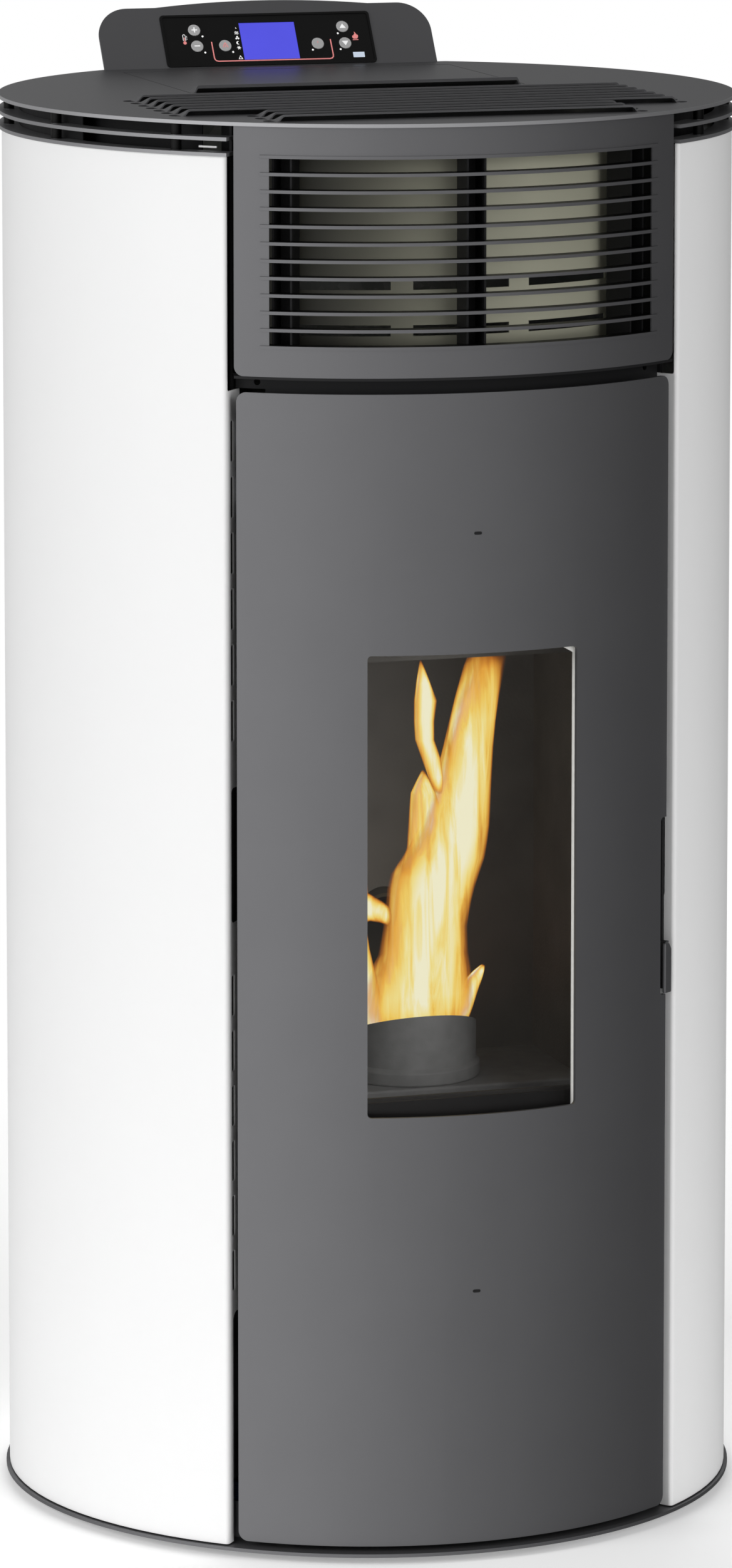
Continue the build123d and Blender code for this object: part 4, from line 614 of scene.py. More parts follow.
@dataclass(frozen=True)
class WoodFlame(Finish):
    """Flame of a pellet fire: pale yellow heart, orange rim, clear beyond it."""

    streak_mm: float = 10.0
    streak_stretch: float = 0.1
    rim_power: float = 1.5
    tip: Pair = (1.0, 0.84)
    foot: Pair = (0.0, 0.14)
    flicker: tuple[float, float, float, float] = (0.32, 0.62, 0.55, 1.3)
    heats: tuple[tuple[float, str], ...] = ((0.0, "#5a2008"), (0.14, "#cc7620"), (0.3, "#f2ad40"),
                                            (0.48, "#fad264"), (0.7, "#fbe894"), (1.0, "#fcf7d4"))
    covers: Pairs = ((0.02, 0.0), (0.22, 0.7), (0.5, 1.0))
    strength: float = 1.1

    def paint(self, tree: Tree, shader: Node) -> None:
        """Build the heat from the distance to the rim and from rising streaks.

        The piece's own map runs across the tongue in u and up it in v.

        Args:
            tree: the material's tree.
            shader: its surface shader.
        """
        flow = add_node(tree, "SeparateXYZ", links={"Vector": add_node(tree, "UVMap", uv_map="flow")})
        swing = add_node(tree, "Math", {1: 2.0, 2: -1.0}, {0: flow.outputs["X"]}, operation="MULTIPLY_ADD")
        away = add_node(tree, "Math", links={0: swing}, operation="ABSOLUTE")
        side = add_node(tree, "Math", {1: self.rim_power}, {0: away}, operation="POWER")
        heat = add_node(tree, "Math", {0: 1.0}, {1: side}, operation="SUBTRACT")
        stretch = add_node(tree, "Mapping", {"Scale": (1.0, 1.0, self.streak_stretch)}, {"Vector": self.place(tree)})
        streaks = add_node(tree, "TexNoise", {"Scale": per_metre(self.streak_mm), "Detail": 4.0, "Roughness": 0.55,
                                              "Distortion": 0.8}, {"Vector": stretch})
        height = flow.outputs["Y"]
        for source, limits in ((height, self.tip), (height, self.foot), (streaks, self.flicker)):
            names = ("From Min", "From Max", "To Min", "To Max")
            share = add_node(tree, "MapRange", dict(zip(names, limits)), {"Value": source})
            heat = add_node(tree, "Math", links={0: heat, 1: share}, operation="MULTIPLY")
        add_node(tree, "ValToRGB", links={"Fac": heat}, into=shader.inputs["Emission Color"],
                 stops=[(at, srgb(colour)) for at, colour in self.heats])
        add_node(tree, "ValToRGB", links={"Fac": heat}, into=shader.inputs["Alpha"],
                 stops=[(at, grey(level)) for at, level in self.covers])
        shader.inputs["Emission Strength"].default_value = self.strength
        shader.inputs["Base Color"].default_value = grey(0.0)
        shader.inputs["Specular IOR Level"].default_value = 0.0


# Metallic powder on sheet steel, sprayed and baked: a soft grey that darkens as it turns from the light.
ANTHRACITE = PowderCoat("powder coat, anthracite", "#68686a", 0.46, 0.72)
# The same powder on slats, with painted shade: the flats behind the bright front edges are painted near black, where
# shade falls.
SLAT_COAT = RimCoat("powder coat, anthracite on slats, painted shade on flats", "#68686a", 0.46, 0.72)
# The same powder on the stacked rings, in a lighter tone as a painted highlight on the lit edges, with painted shade
# in near black between them.
RING_COAT = StackedCoat("powder coat, anthracite on rings", "#8f8f91", 0.46, 0.72)
# The same powder on the top plate, with a painted highlight: its rolled rim is painted a lighter tone as a light line.
PLATE_COAT = RimCoat("powder coat, anthracite on the plate", "#a2a2a4", 0.46, 0.72, flats="#68686a",
                     rim_radii=(279.2, 279.8))
# Near-black matt powder on inner sheets, partly their own dark coat and partly painted shade: it stays dark, so gaps
# read deep.
NEAR_BLACK_AND_SHADE_COAT = PowderCoat("powder coat, near black, painted shade", "#1c1c1d", 0.6, 0.2, specular=0.25)
# White powder on the rolled panels: even, with one soft gradient round the drum.
WHITE_COAT = PowderCoat("powder coat, signal white", "#efefef", 0.4, patchiness=0.003)
# Hot-dip zinc on hidden sheet: cold grey with visible crystals.
ZINC = GalvanisedSheet("galvanised sheet", "#b3b4ae", 0.45, 0.6)
# Plated sheet browned by warm air: a yellow grey behind the slats, painted darker towards the left as painted shade.
AIR_WALL = ShadedPlatedSheet("plated sheet, browned, painted shade at left", "#cfceb8", 0.5, 0.2)
# Rolled and zinc-plated steel: satin grey with upright marks.
STEEL = MilledSteel("zinc-plated steel", "#8f9092", 0.42, 0.7)
# Blue-passivated zinc: a dark blue cast on the studs.
NAVY_STUD = MilledSteel("blue passivated stud", "#2a3850", 0.4, 0.5)
# Heat-proof silicone paint on rolled steel: dull warm black.
BLACK_STEEL = MilledSteel("heat-proof black on steel", "#3c3a38", 0.6, 0.2)
# Sand-cast iron: dull light grey with a grainy skin.
IRON = CastIron("cast iron", "#9c9c9b", 0.6)
# Pressed vermiculite: matt brown grey that takes no shine.
BOARD = VermiculiteBoard("vermiculite board, sooty", "#8d8982", 0.9)
# Rolled ceramic glass: clear, with a faint brown veil.
GLASS = CeramicGlass("ceramic glass", "#2a2725", 0.06)
# Needled ceramic fibre: a white line with a soft edge.
FELT = MineralFelt("ceramic-fibre felt", "#e4e3de", 0.95)
# Knitted glass fibre: grey-white strands that cross.
ROPE = BraidedRope("glass-fibre rope", "#c9c7bd", 0.85)
# Moulded ABS with a fine grain: a black that hardly shines.
ABS = MouldedPart("ABS, black", "#0f0f0f", 0.5, specular=0.2)
# Pressed and fired alumina: chalky cream.
CERAMIC = MouldedPart("alumina ceramic", "#d8d2c4", 0.6)
# Turned and zinc-plated cap: a silky light disc.
BUTTON = TurnedButton("button cap, satin", "#bcbcbc", 0.4, 0.15)
# Liquid crystal over a backlight: flat violet blue, the one strong colour.
SCREEN = LitScreen("liquid crystal, backlit", "#5050e0", 0.25)
# Screen-printed white, lit a little from behind: crisp small signs.
WHITE_INK = PrintedInk("screen ink, white", "#e8e8e8", 0.6, glow=0.55)
# Screen-printed coral: the warm line round the screen, with a painted glow.
RED_INK = PrintedInk("screen ink, coral", "#d4807e", 0.6, glow=0.45)
# Pad-printed white on the caps: signs that stand out from satin, with a painted glow, as no lamp lies behind them.
GREY_INK = PrintedInk("symbol ink, white", "#f2f2f2", 0.6, glow=0.3)
# Tinted clear plastic over a receiver: a pale blue corner, with a painted glow.
SENSOR = PrintedInk("receiver window", "#b9c4d2", 0.3, glow=0.5)
# Burning wood gas: the brightest thing in the picture.
FLAME = WoodFlame("wood flame", "#ffb347", 1.0)
# Glowing pellets: orange sparks between ash.
EMBERS = WoodEmbers("wood embers", "#2a1409", 0.9)


# ------------------------------------------------------------------- pieces
def body_of(node: str) -> str:
    """Return the name of the body that a node belongs to."""
    bodies = frame["record"]["behaviour"]["bodies"]
    return next(body for body, members in bodies.items() if node in members)


def make_piece(name: str, mesh: Mesh, finish: Finish, body: str = Body.CABINET.value,
               smooth: bool = False, recalc: bool = True) -> Piece:
    """Turn a bmesh into a piece that rides on a body.

    Args:
        name: piece name.
        mesh: its shape in metres, freed here.
        finish: what it is dressed with.
        body: the body that it moves with.
        smooth: whether its faces shade as one rounded surface.
        recalc: whether its normals are worked out again.

    Returns:
        The new object.
    """
    if recalc:
        bmesh.ops.remove_doubles(mesh, verts=mesh.verts, dist=HAIR / 10)
        bmesh.ops.recalc_face_normals(mesh, faces=mesh.faces)
    piece = new_object(name, mesh)
    for polygon in piece.data.polygons:
        polygon.use_smooth = smooth
    piece.data.materials.append(finish.material())
    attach(piece, body)
    return piece


def verts_in(geometry: Sequence[Any]) -> list[bmesh.types.BMVert]:
    """Return the vertices among an operator's results."""
    return [g for g in geometry if isinstance(g, bmesh.types.BMVert)]


def edges_in(geometry: Sequence[Any]) -> list[bmesh.types.BMEdge]:
    """Return the edges among an operator's results."""
    return [g for g in geometry if isinstance(g, bmesh.types.BMEdge)]


def round_edges(mesh: Mesh, edges: Sequence[bmesh.types.BMEdge], radius: float,
                segments: int = 2) -> list[bmesh.types.BMVert]:
    """Round edges to a radius in millimetres and return the vertices that this makes."""
    return bmesh.ops.bevel(mesh, geom=edges, offset=radius * MM, offset_type="OFFSET", segments=segments,
                           profile=0.5, affect="EDGES", material=-1)["verts"]


def add_disc(mesh: Mesh, radius: float, depth: float, place: Matrix, segments: int = 24,
             edge: float = 0.0) -> list[bmesh.types.BMVert]:
    """Add a short cylinder standing on z = 0 of a place, its top edge rounded.

    Args:
        mesh: bmesh that gets it.
        radius: its radius in millimetres.
        depth: its height in millimetres.
        place: where its base lies, in metres.
        segments: sides of its outline.
        edge: radius of its top edge in millimetres.

    Returns:
        The vertices of the shape.
    """
    made = bmesh.ops.create_cone(mesh, cap_ends=True, segments=segments, radius1=radius * MM, radius2=radius * MM,
                                 depth=depth * MM)["verts"]
    bmesh.ops.translate(mesh, verts=made, vec=(0, 0, depth * MM / 2))
    if edge > 0:
        level = depth * MM - HAIR
        rim = [e for e in mesh.edges if all(v in made and v.co.z > level for v in e.verts)]
        rounded = round_edges(mesh, rim, edge)
        made = list({v for v in made if v.is_valid} | set(rounded))
    bmesh.ops.transform(mesh, matrix=place, verts=made)
    return made


def add_band(mesh: Mesh, radii: Point, angles: Point, heights: Point, steps: int) -> None:
    """Bend a rectangular section round the stove's axis into a band with closed ends.

    Args:
        mesh: bmesh that gets it.
        radii: inner and outer radius in millimetres.
        angles: first and last degree from the front.
        heights: lower and upper height in millimetres.
        steps: divisions along the bend.
    """
    corners = [polar(radii[i], angles[0], heights[j]) for i, j in ((0, 0), (1, 0), (1, 1), (0, 1))]
    face = mesh.faces.new([mesh.verts.new(corner) for corner in corners])
    bmesh.ops.spin(mesh, geom=[face, *face.edges, *face.verts], cent=(0, 0, 0), axis=(0, 0, 1),
                   angle=math.radians(angles[1] - angles[0]), steps=steps)


def facing(point: Vector, direction: Vector) -> Matrix:
    """Return the place at a point whose z axis looks along a direction."""
    return Matrix.Translation(point) @ direction.to_track_quat("Z", "Y").to_matrix().to_4x4()


Coats = tuple[tuple[Finish, tuple[str, ...]], ...]


@dataclass
class Assembly:
    """A sub-assembly: the nodes that it dresses and the pieces that it adds."""

    coats: Coats = ()

    def build(self) -> list[Piece]:
        """Dress the nodes and add the pieces.

        Returns:
            The pieces that are new.
        """
        for finish, nodes in self.coats:
            for name in nodes:
                node = frame["nodes"][name]
                if not node.material_slots:
                    node.data.materials.append(finish.material())
                for slot in node.material_slots:
                    slot.material = finish.material()
        return self.pieces()

    def pieces(self) -> list[Piece]:
        """Return the new pieces; none by default."""
        return []


@dataclass
class Cabinet(Assembly):
    """Base, feet, posts, panels and the fixings of the sheets."""

    coats: Coats = (
        (ANTHRACITE, ("base_plate",)), (RING_COAT, ("trim_rings",)), (NEAR_BLACK_AND_SHADE_COAT, ("frame_posts",)),
        (WHITE_COAT, ("side_panel_left", "side_panel_right")), (ZINC, ("rear_panel",)),
        (NAVY_STUD, ("levelling_feet",)))
    thread_radii: Pair = (4.75, 5.45)
    thread_pitch: float = 1.75
    thread_z: Pair = (36.2, 49.4)
    thread_steps: int = 16
    foot_circle: float = 245.0
    foot_angles: tuple[float, ...] = (40.0, 140.0, 220.0, -40.0)
    bolt_head: Triple = (3.4, 2.2, 0.4)  # radius, height and rounding, as of the flange
    bolt_flange: Triple = (4.6, 0.7, 0.25)
    bolt_seat: float = 0.5
    rear_face: float = 240.6
    rear_bolt_x: float = 133.5
    rear_bolt_z: tuple[float, ...] = (40.0, 270.0, 500.0, 730.0, 960.0)
    # painted shade: dark sheets that close the ring gaps, where only shade is seen
    shade_sheet_bands: tuple[Pairs, ...] = (  # radii, angles and heights of the inner and outer sheet
        ((249.0, 250.0), (46.0, 139.0), (1040.0, 1068.7)), ((262.6, 263.6), (70.0, 144.0), (1046.5, 1068.7)))
    shade_sheet_steps: int = 40
    tab: Pairs = ((262.3, 263.3), (-45.0, -41.8), (1050.6, 1052.0))
    tab_steps: int = 4

    def pieces(self) -> list[Piece]:
        """Add the threads, bolts, the dark sheets of painted shade in the ring gaps, and the tab."""
        return [self.threads(), self.rear_bolts(), self.shade_sheets(), self.panel_tab()]

    def threads(self) -> Piece:
        """Cut a thread on the part of each stud that stands over its bush.

        Returns:
            The piece of all four threads.
        """
        mesh = bmesh.new()
        root, crest = [radius * MM for radius in self.thread_radii]
        low, rise = self.thread_z[0] * MM, self.thread_pitch * MM
        turns = int((self.thread_z[1] - self.thread_z[0]) / self.thread_pitch) - 1
        for angle in self.foot_angles:
            centre = polar(self.foot_circle, angle)
            corners = [(root, low), (crest, low + rise * 0.5), (root, low + rise)]
            ring = [mesh.verts.new(centre + Vector((r, 0, z))) for r, z in corners]
            profile = mesh.faces.new(ring)
            bmesh.ops.spin(mesh, geom=[profile, *profile.edges, *profile.verts], cent=centre, axis=(0, 0, 1),
                           dvec=(0, 0, rise / self.thread_steps), angle=math.tau * turns,
                           steps=self.thread_steps * turns)
        return make_piece("stud_threads", mesh, NAVY_STUD)

    def rear_bolts(self) -> Piece:
        """Bolt the rear panel to the posts with flanged hexagon heads.

        Returns:
            The piece of all ten bolts.
        """
        mesh = bmesh.new()
        seat = Matrix.Translation((0, 0, self.bolt_seat * MM))
        (flange, thickness, flange_edge), (head, height, head_edge) = self.bolt_flange, self.bolt_head
        for z in self.rear_bolt_z:
            for side in (-1, 1):
                place = facing(Vector((side * self.rear_bolt_x, self.rear_face, z)) * MM, Vector((0, 1, 0)))
                add_disc(mesh, flange, thickness, place, 20, flange_edge)
                add_disc(mesh, head, height, place @ seat, 6, head_edge)
        return make_piece("rear_bolts", mesh, STEEL)

    def shade_sheets(self) -> Piece:
        """Hang near-black sheets under the top plate on each side as painted shade: they close the view through the
        ring gaps, where the hollow inside would show.

        Returns:
            The piece of all four sheets.
        """
        mesh = bmesh.new()
        for side in (-1, 1):
            for radii, angles, heights in self.shade_sheet_bands:
                add_band(mesh, radii, [side * angle for angle in angles], heights, self.shade_sheet_steps)
        return make_piece("ring_gap_shade_sheets", mesh, NEAR_BLACK_AND_SHADE_COAT)

    def panel_tab(self) -> Piece:
        """Show the left panel's bent tab in the lower ring gap.

        Returns:
            The tab.
        """
        mesh = bmesh.new()
        add_band(mesh, *self.tab, self.tab_steps)
        return make_piece("panel_tab", mesh, WHITE_COAT)


@dataclass
class TopDeck(Assembly):
    """Louvred top plate, hopper, its lid and the control panel's sheet."""

    coats: Coats = (
        (PLATE_COAT, ("top_plate",)), (ANTHRACITE, ("hopper_lid", "control_panel", "lid_hinges")),
        (ZINC, ("hopper", "hopper_grid")))


@dataclass
class Grille(Assembly):
    """Curved slats in their notched frame, brackets and the warm-air wall."""

    coats: Coats = (
        (ANTHRACITE, ("grille_frame",)), (SLAT_COAT, ("grille_slats",)),
        (NEAR_BLACK_AND_SHADE_COAT, ("grille_brackets", "front_rail")), (AIR_WALL, ("warm_air_wall",)))
    lip_radii: Pair = (275.8, 277.0)
    lip_angle: float = 32.1
    lip_z: Pairs = ((901.5, 908.3), (1047.6, 1053.5))
    lip_steps: int = 48

    def pieces(self) -> list[Piece]:
        """Close the strips between the opening's edge and the outer slats, above and below.

        Returns:
            The piece of both strips.
        """
        mesh = bmesh.new()
        for heights in self.lip_z:
            add_band(mesh, self.lip_radii, (-self.lip_angle, self.lip_angle), heights, self.lip_steps)
        return [make_piece("grille_lips", mesh, ANTHRACITE)]


@dataclass
class Door(Assembly):
    """Curved skin with its two pressed slots, glass, felt strips, rope seal, hinges and handle."""

    coats: Coats = (
        (ANTHRACITE, ("door_skin", "door_handle")), (NEAR_BLACK_AND_SHADE_COAT, ("door_frame", "latch_striker")),
        (STEEL, ("door_hinge_leaves", "hinge_brackets")), (GLASS, ("door_glass",)))
    slot_radial: float = 273.85
    slot_heights: tuple[float, ...] = (770.5, 204.0)
    slot_half: float = 3.0
    slot_radius: float = 1.2
    slot_relief: Pair = (0.35, 0.15)  # height and rounding
    strip_angles: Pair = (17.2, 20.0)
    strip_z: Pair = (329.2, 689.2)
    strip_radii: Pair = (266.9, 271.2)
    strip_edge: float = 0.8
    strip_steps: int = 6
    strip_crease: float = 1.0
    fold_radius: float = 267.3
    fold_outline: Pairs = ((14.2, 683.5), (17.6, 683.5), (17.6, 675.0))
    fold_angle: float = 16.5
    fold_depth: float = 2.2
    fold_edge: float = 0.4
    rope_radius: float = 5.6
    rope_sides: int = 18
    rope_half: float = 118.0
    rope_z: Pair = (203.0, 703.0)
    rope_y: float = -232.0
    rope_corner: float = 14.0
    rope_steps: int = 6
    grip_top: float = 446.0
    grip: Pairs = ((274.4, 277.4), (36.5, 38.25), (407.4, 445.4))  # radii, angles and heights
    grip_chamfer: float = 5.0
    grip_rim: float = 2.0
    grip_edge: float = 0.8
    grip_crease: float = 0.5
    stem: Pairs = ((257.0, 274.6), (37.72, 38.25), (409.4, 446.0))

    def pieces(self) -> list[Piece]:
        """Add what the door's solids leave plain."""
        return [self.pressed_slots(), self.strips(), self.folded_end(), self.rope(), self.handle()]

    def handle(self) -> Piece:
        """Keep the latch arm and give it a slim grip that lies over the edge of the skin.

        Returns:
            The piece, in the place of the plain handle.
        """
        mesh = bmesh.new()
        mesh.from_mesh(frame["nodes"]["door_handle"].data)
        bmesh.ops.remove_doubles(mesh, verts=mesh.verts, dist=HAIR)
        cut = bmesh.ops.bisect_plane(mesh, geom=[*mesh.verts, *mesh.edges, *mesh.faces], clear_inner=True,
                                     plane_co=(0, 0, self.grip_top * MM), plane_no=(0, 0, 1))["geom_cut"]
        bmesh.ops.holes_fill(mesh, edges=edges_in(cut), sides=0)
        grip = bmesh.new()
        add_band(grip, *self.grip, 3)
        top = max(vert.co.z for vert in grip.verts)
        outer = max(grip.verts, key=lambda vert: vert.co.x).co.x
        for vert in grip.verts:
            if vert.co.z > top - HAIR and vert.co.x > outer - self.grip_rim * MM:
                vert.co.z -= self.grip_chamfer * MM
        round_edges(grip, [e for e in grip.edges if e.calc_face_angle(0.0) > self.grip_crease], self.grip_edge)
        add_band(grip, *self.stem, 2)
        data = bpy.data.meshes.new("grip")
        grip.to_mesh(data)
        grip.free()
        mesh.from_mesh(data)
        bpy.data.meshes.remove(data)
        piece = make_piece("latch_handle", mesh, ANTHRACITE, Body.HANDLE.value)
        piece.data.materials.append(NEAR_BLACK_AND_SHADE_COAT.material())
        for polygon in piece.data.polygons:
            polygon.material_index = int(polygon.center.z > self.grip_top * MM)
        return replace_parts(piece, "door_handle")

    def pressed_slots(self) -> Piece:
        """Show the two small pressed slots on the centre line of the skin as thin near-black capsules, painted shade
        for their recesses.

        Returns:
            The piece of both slots.
        """
        mesh = bmesh.new()
        shift = (self.slot_half - self.slot_radius) * MM
        for height in self.slot_heights:
            place = facing(polar(self.slot_radial, 0.0, height), Vector((0, -1, 0)))
            place = place @ Matrix.Rotation(math.pi / 2, 4, "Z")
            for vert in add_disc(mesh, self.slot_radius, self.slot_relief[0], place, 16, self.slot_relief[1]):
                if abs(vert.co.x) > HAIR / 10:
                    vert.co.x += math.copysign(shift, vert.co.x)
        return make_piece("door_slots", mesh, NEAR_BLACK_AND_SHADE_COAT, Body.DOOR.value)

    def strips(self) -> Piece:
        """Bend a felt strip beside each edge of the glass.

        Returns:
            The piece of both strips, in the place of the plain ones.
        """
        mesh = bmesh.new()
        for side in (-1, 1):
            add_band(mesh, self.strip_radii, [side * angle for angle in self.strip_angles], self.strip_z,
                     self.strip_steps)
        sharp = [e for e in mesh.edges if e.is_manifold and e.calc_face_angle(0.0) > self.strip_crease]
        round_edges(mesh, sharp, self.strip_edge, 3)
        piece = make_piece("felt_strips", mesh, FELT, Body.DOOR.value, smooth=True)
        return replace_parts(piece, "glass_strips")

    def folded_end(self) -> Piece:
        """Fold the right strip's upper end over the corner of the glass.

        Returns:
            The fold.
        """
        mesh = bmesh.new()
        corners = [mesh.verts.new(polar(self.fold_radius, angle, z)) for angle, z in self.fold_outline]
        grown = bmesh.ops.extrude_face_region(mesh, geom=[mesh.faces.new(corners)])["geom"]
        bmesh.ops.translate(mesh, verts=verts_in(grown), vec=polar(1.0, self.fold_angle) * self.fold_depth)
        round_edges(mesh, list(mesh.edges), self.fold_edge)
        return make_piece("felt_fold", mesh, FELT, Body.DOOR.value)

    def rope(self) -> Piece:
        """Lay the rope seal round the frame, one round section swept through four corners.

        Returns:
            The rope, in the place of the plain seal.
        """
        mesh = bmesh.new()
        low, high = self.rope_z
        corner = self.rope_corner
        inner = self.rope_half - corner
        start = Vector((-inner, self.rope_y, low)) * MM
        ring = bmesh.ops.create_circle(mesh, segments=self.rope_sides, radius=self.rope_radius * MM,
                                       matrix=Matrix.Translation(start) @ Matrix.Rotation(math.pi / 2, 4, "Y"))
        geom: list[Any] = [*ring["verts"], *{e for v in ring["verts"] for e in v.link_edges}]
        height = high - low - 2 * corner
        for run, x, z in (((2 * inner, 0, 0), inner, low + corner), ((0, 0, height), inner, high - corner),
                          ((-2 * inner, 0, 0), -inner, high - corner), ((0, 0, -height), -inner, low + corner)):
            geom = bmesh.ops.extrude_edge_only(mesh, edges=edges_in(geom))["geom"]
            bmesh.ops.translate(mesh, verts=verts_in(geom), vec=Vector(run) * MM)
            geom = bmesh.ops.spin(mesh, geom=[*edges_in(geom), *verts_in(geom)], axis=(0, 1, 0),
                                  cent=Vector((x, self.rope_y, z)) * MM, angle=-math.pi / 2,
                                  steps=self.rope_steps)["geom_last"]
        bmesh.ops.remove_doubles(mesh, verts=mesh.verts, dist=HAIR * 10)
        piece = make_piece("rope_seal", mesh, ROPE, Body.DOOR.value, smooth=True)
        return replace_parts(piece, "door_seal")


@dataclass(frozen=True)
class Tongue:
    """One tongue of flame: its left and right edges from the bottom up, in millimetres."""

    name: str
    left: Pairs
    right: Pairs
    depth: float
    setback: float = 0.0


@dataclass
class Firebox(Assembly):
    """Fire chamber: its finishes, the bed of embers and the flame over the pot."""

    coats: Coats = (
        (BLACK_STEEL, ("firebox_body", "heat_exchanger")), (BOARD, ("firebox_liner", "baffle_plate")),
        (IRON, ("hearth_plate", "burn_pot")), (ZINC, ("firebox_plinth", "ash_drawer")), (CERAMIC, ("igniter",)))
    pot_y: float = -107.0
    pot_bore: float = 46.0
    bed_height: float = 349.0
    bed_crown: float = 7.0
    bed_margin: float = 9.0
    bed_rise: Pair = (-5.0, 3.0)
    bed_seed: int = 11
    pellet_radius: float = 3.0
    pellet_length: float = 13.0
    pellet_count: int = 90
    pellet_edge: float = 0.5
    pellet_share: Pair = (0.6, 1.0)
    pellet_lean: float = 0.45
    pellet_sides: int = 8
    flame_foot: float = 352.0
    flame_keep: float = 0.6
    flame_swell: float = 1.07
    flame_sides: int = 20
    tongues: tuple[Tongue, ...] = (
        Tongue("flame_main",
               ((-30, 352), (-37, 368), (-39, 385), (-34, 404), (-22, 424), (-18, 445), (-16, 462), (-15, 474),
                (-12, 486), (-4, 497), (3, 508), (10, 522), (18, 545), (24, 564), (29, 582), (34, 602),
                (39, 622), (45, 643), (50, 656)),
               ((30, 352), (44, 368), (49, 385), (48, 404), (45, 424), (44, 445), (47, 462), (50, 474),
                (54, 486), (58, 497), (60, 508), (62, 522), (63, 545), (64, 564), (65, 582), (67, 602),
                (70, 622), (74, 643), (77, 656)), 17.0),
        Tongue("flame_lobe",
               ((-6, 470), (-3, 490), (1, 505), (2, 520), (3, 535), (4, 547), (8, 556), (12, 565)),
               ((24, 470), (26, 490), (27, 505), (28, 520), (26, 535), (22, 547), (18, 556), (14, 565)), 9.0, 5.0),
        Tongue("flame_wisp",
               ((18, 548), (13, 562), (8, 576), (3, 590), (2, 604), (2, 620), (4, 636), (6, 652)),
               ((24, 548), (24, 562), (22, 576), (17, 590), (17, 604), (19, 620), (13, 636), (7, 652)), 5.0, -8.0),
        Tongue("flame_curl",
               ((36, 366), (42, 380), (46, 392), (49, 400), (55, 406), (61, 411)),
               ((49, 366), (54, 380), (58, 392), (61, 400), (63, 406), (64, 411)), 6.0, 10.0),
        Tongue("flame_left",
               ((-40, 352), (-45, 370), (-46, 390), (-45, 410), (-46, 430), (-46, 450), (-42, 470), (-34, 484)),
               ((-12, 352), (-16, 370), (-20, 390), (-25, 410), (-30, 430), (-33, 450), (-31, 470), (-31, 484)),
               8.0, 6.0),
        Tongue("flame_bridge",
               ((-46, 446), (-38, 450), (-30, 452), (-22, 450), (-14, 446)),
               ((-46, 474), (-38, 476), (-30, 472), (-22, 467), (-14, 462)), 6.0, 3.0))

    def pieces(self) -> list[Piece]:
        """Light the fire."""
        flames = [self.tongue(tongue) for tongue in self.tongues]
        return [self.embers(), *flames]

    def embers(self) -> Piece:
        """Heap glowing pellets in the pot.

        Returns:
            The bed, riding on the pot.
        """
        chance = random.Random(self.bed_seed)
        mesh = bmesh.new()
        for _ in range(self.pellet_count):
            reach = (self.pot_bore - self.bed_margin) * math.sqrt(chance.random())
            turn = chance.uniform(0, math.tau)
            height = self.bed_height + self.bed_crown * (1 - reach / self.pot_bore) + chance.uniform(*self.bed_rise)
            spot = Vector((reach * math.cos(turn), self.pot_y + reach * math.sin(turn), height)) * MM
            lean = Vector([chance.uniform(-limit, limit) for limit in (1, 1, self.pellet_lean)])
            add_disc(mesh, self.pellet_radius, self.pellet_length * chance.uniform(*self.pellet_share),
                     facing(spot, lean.normalized()), self.pellet_sides, self.pellet_edge)
        return make_piece("ember_bed", mesh, EMBERS, Body.POT.value)

    def tongue(self, tongue: Tongue) -> Piece:
        """Shape one closed tongue of flame from a ringed cylinder.

        Args:
            tongue: its edges and depth.

        Returns:
            The piece, with its flow map.
        """
        mesh = bmesh.new()
        rows = len(tongue.left) - 1
        bmesh.ops.create_cone(mesh, cap_ends=True, segments=self.flame_sides, radius1=1.0, radius2=1.0, depth=1.0)
        upright = [e for e in mesh.edges if abs(e.verts[0].co.z - e.verts[1].co.z) > 0.5]
        bmesh.ops.subdivide_edges(mesh, edges=upright, cuts=3 * rows - 1, use_grid_fill=True)
        flow = mesh.loops.layers.uv.new("flow")
        for face in mesh.faces:
            for loop in face.loops:
                loop[flow].uv = ((loop.vert.co.x + 1) / 2, loop.vert.co.z + 0.5)
        for vert in mesh.verts:
            along = min(max(vert.co.z + 0.5, 0.0), 1.0) * rows
            index = min(int(along), rows - 1)
            left, right = [Vector(edge[index]).lerp(Vector(edge[index + 1]), along - index)
                           for edge in (tongue.left, tongue.right)]
            middle, half = (left + right) / 2, (right - left) / 2 * self.flame_swell
            swell = min(1.0, half.length / tongue.depth) * tongue.depth
            x, z = middle + half * vert.co.x
            vert.co = Vector((x, self.pot_y + tongue.setback + swell * vert.co.y, z)) * MM
        piece = make_piece(tongue.name, mesh, FLAME, Body.POT.value, smooth=True, recalc=False)
        piece.visible_shadow = piece.visible_diffuse = False
        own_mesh(piece)
        return piece


@dataclass
class FeedTrain(Assembly):
    """Auger, its motor and the chute that feeds the pot."""

    coats: Coats = (
        (BLACK_STEEL, ("pellet_chute",)), (STEEL, ("auger_tube", "auger_screw", "auger_motor")))


@dataclass
class AirAndFlue(Assembly):
    """Smoke duct and fan, room fan, pipes and the mains inlet."""

    coats: Coats = (
        (ZINC, ("flue_duct", "flue_fan_housing", "room_fan_housing", "air_inlet_pipe", "exhaust_pipe")),
        (STEEL, ("flue_fan_wheel", "fan_motors")), (ABS, ("room_fan_wheel", "power_inlet", "power_rocker")))


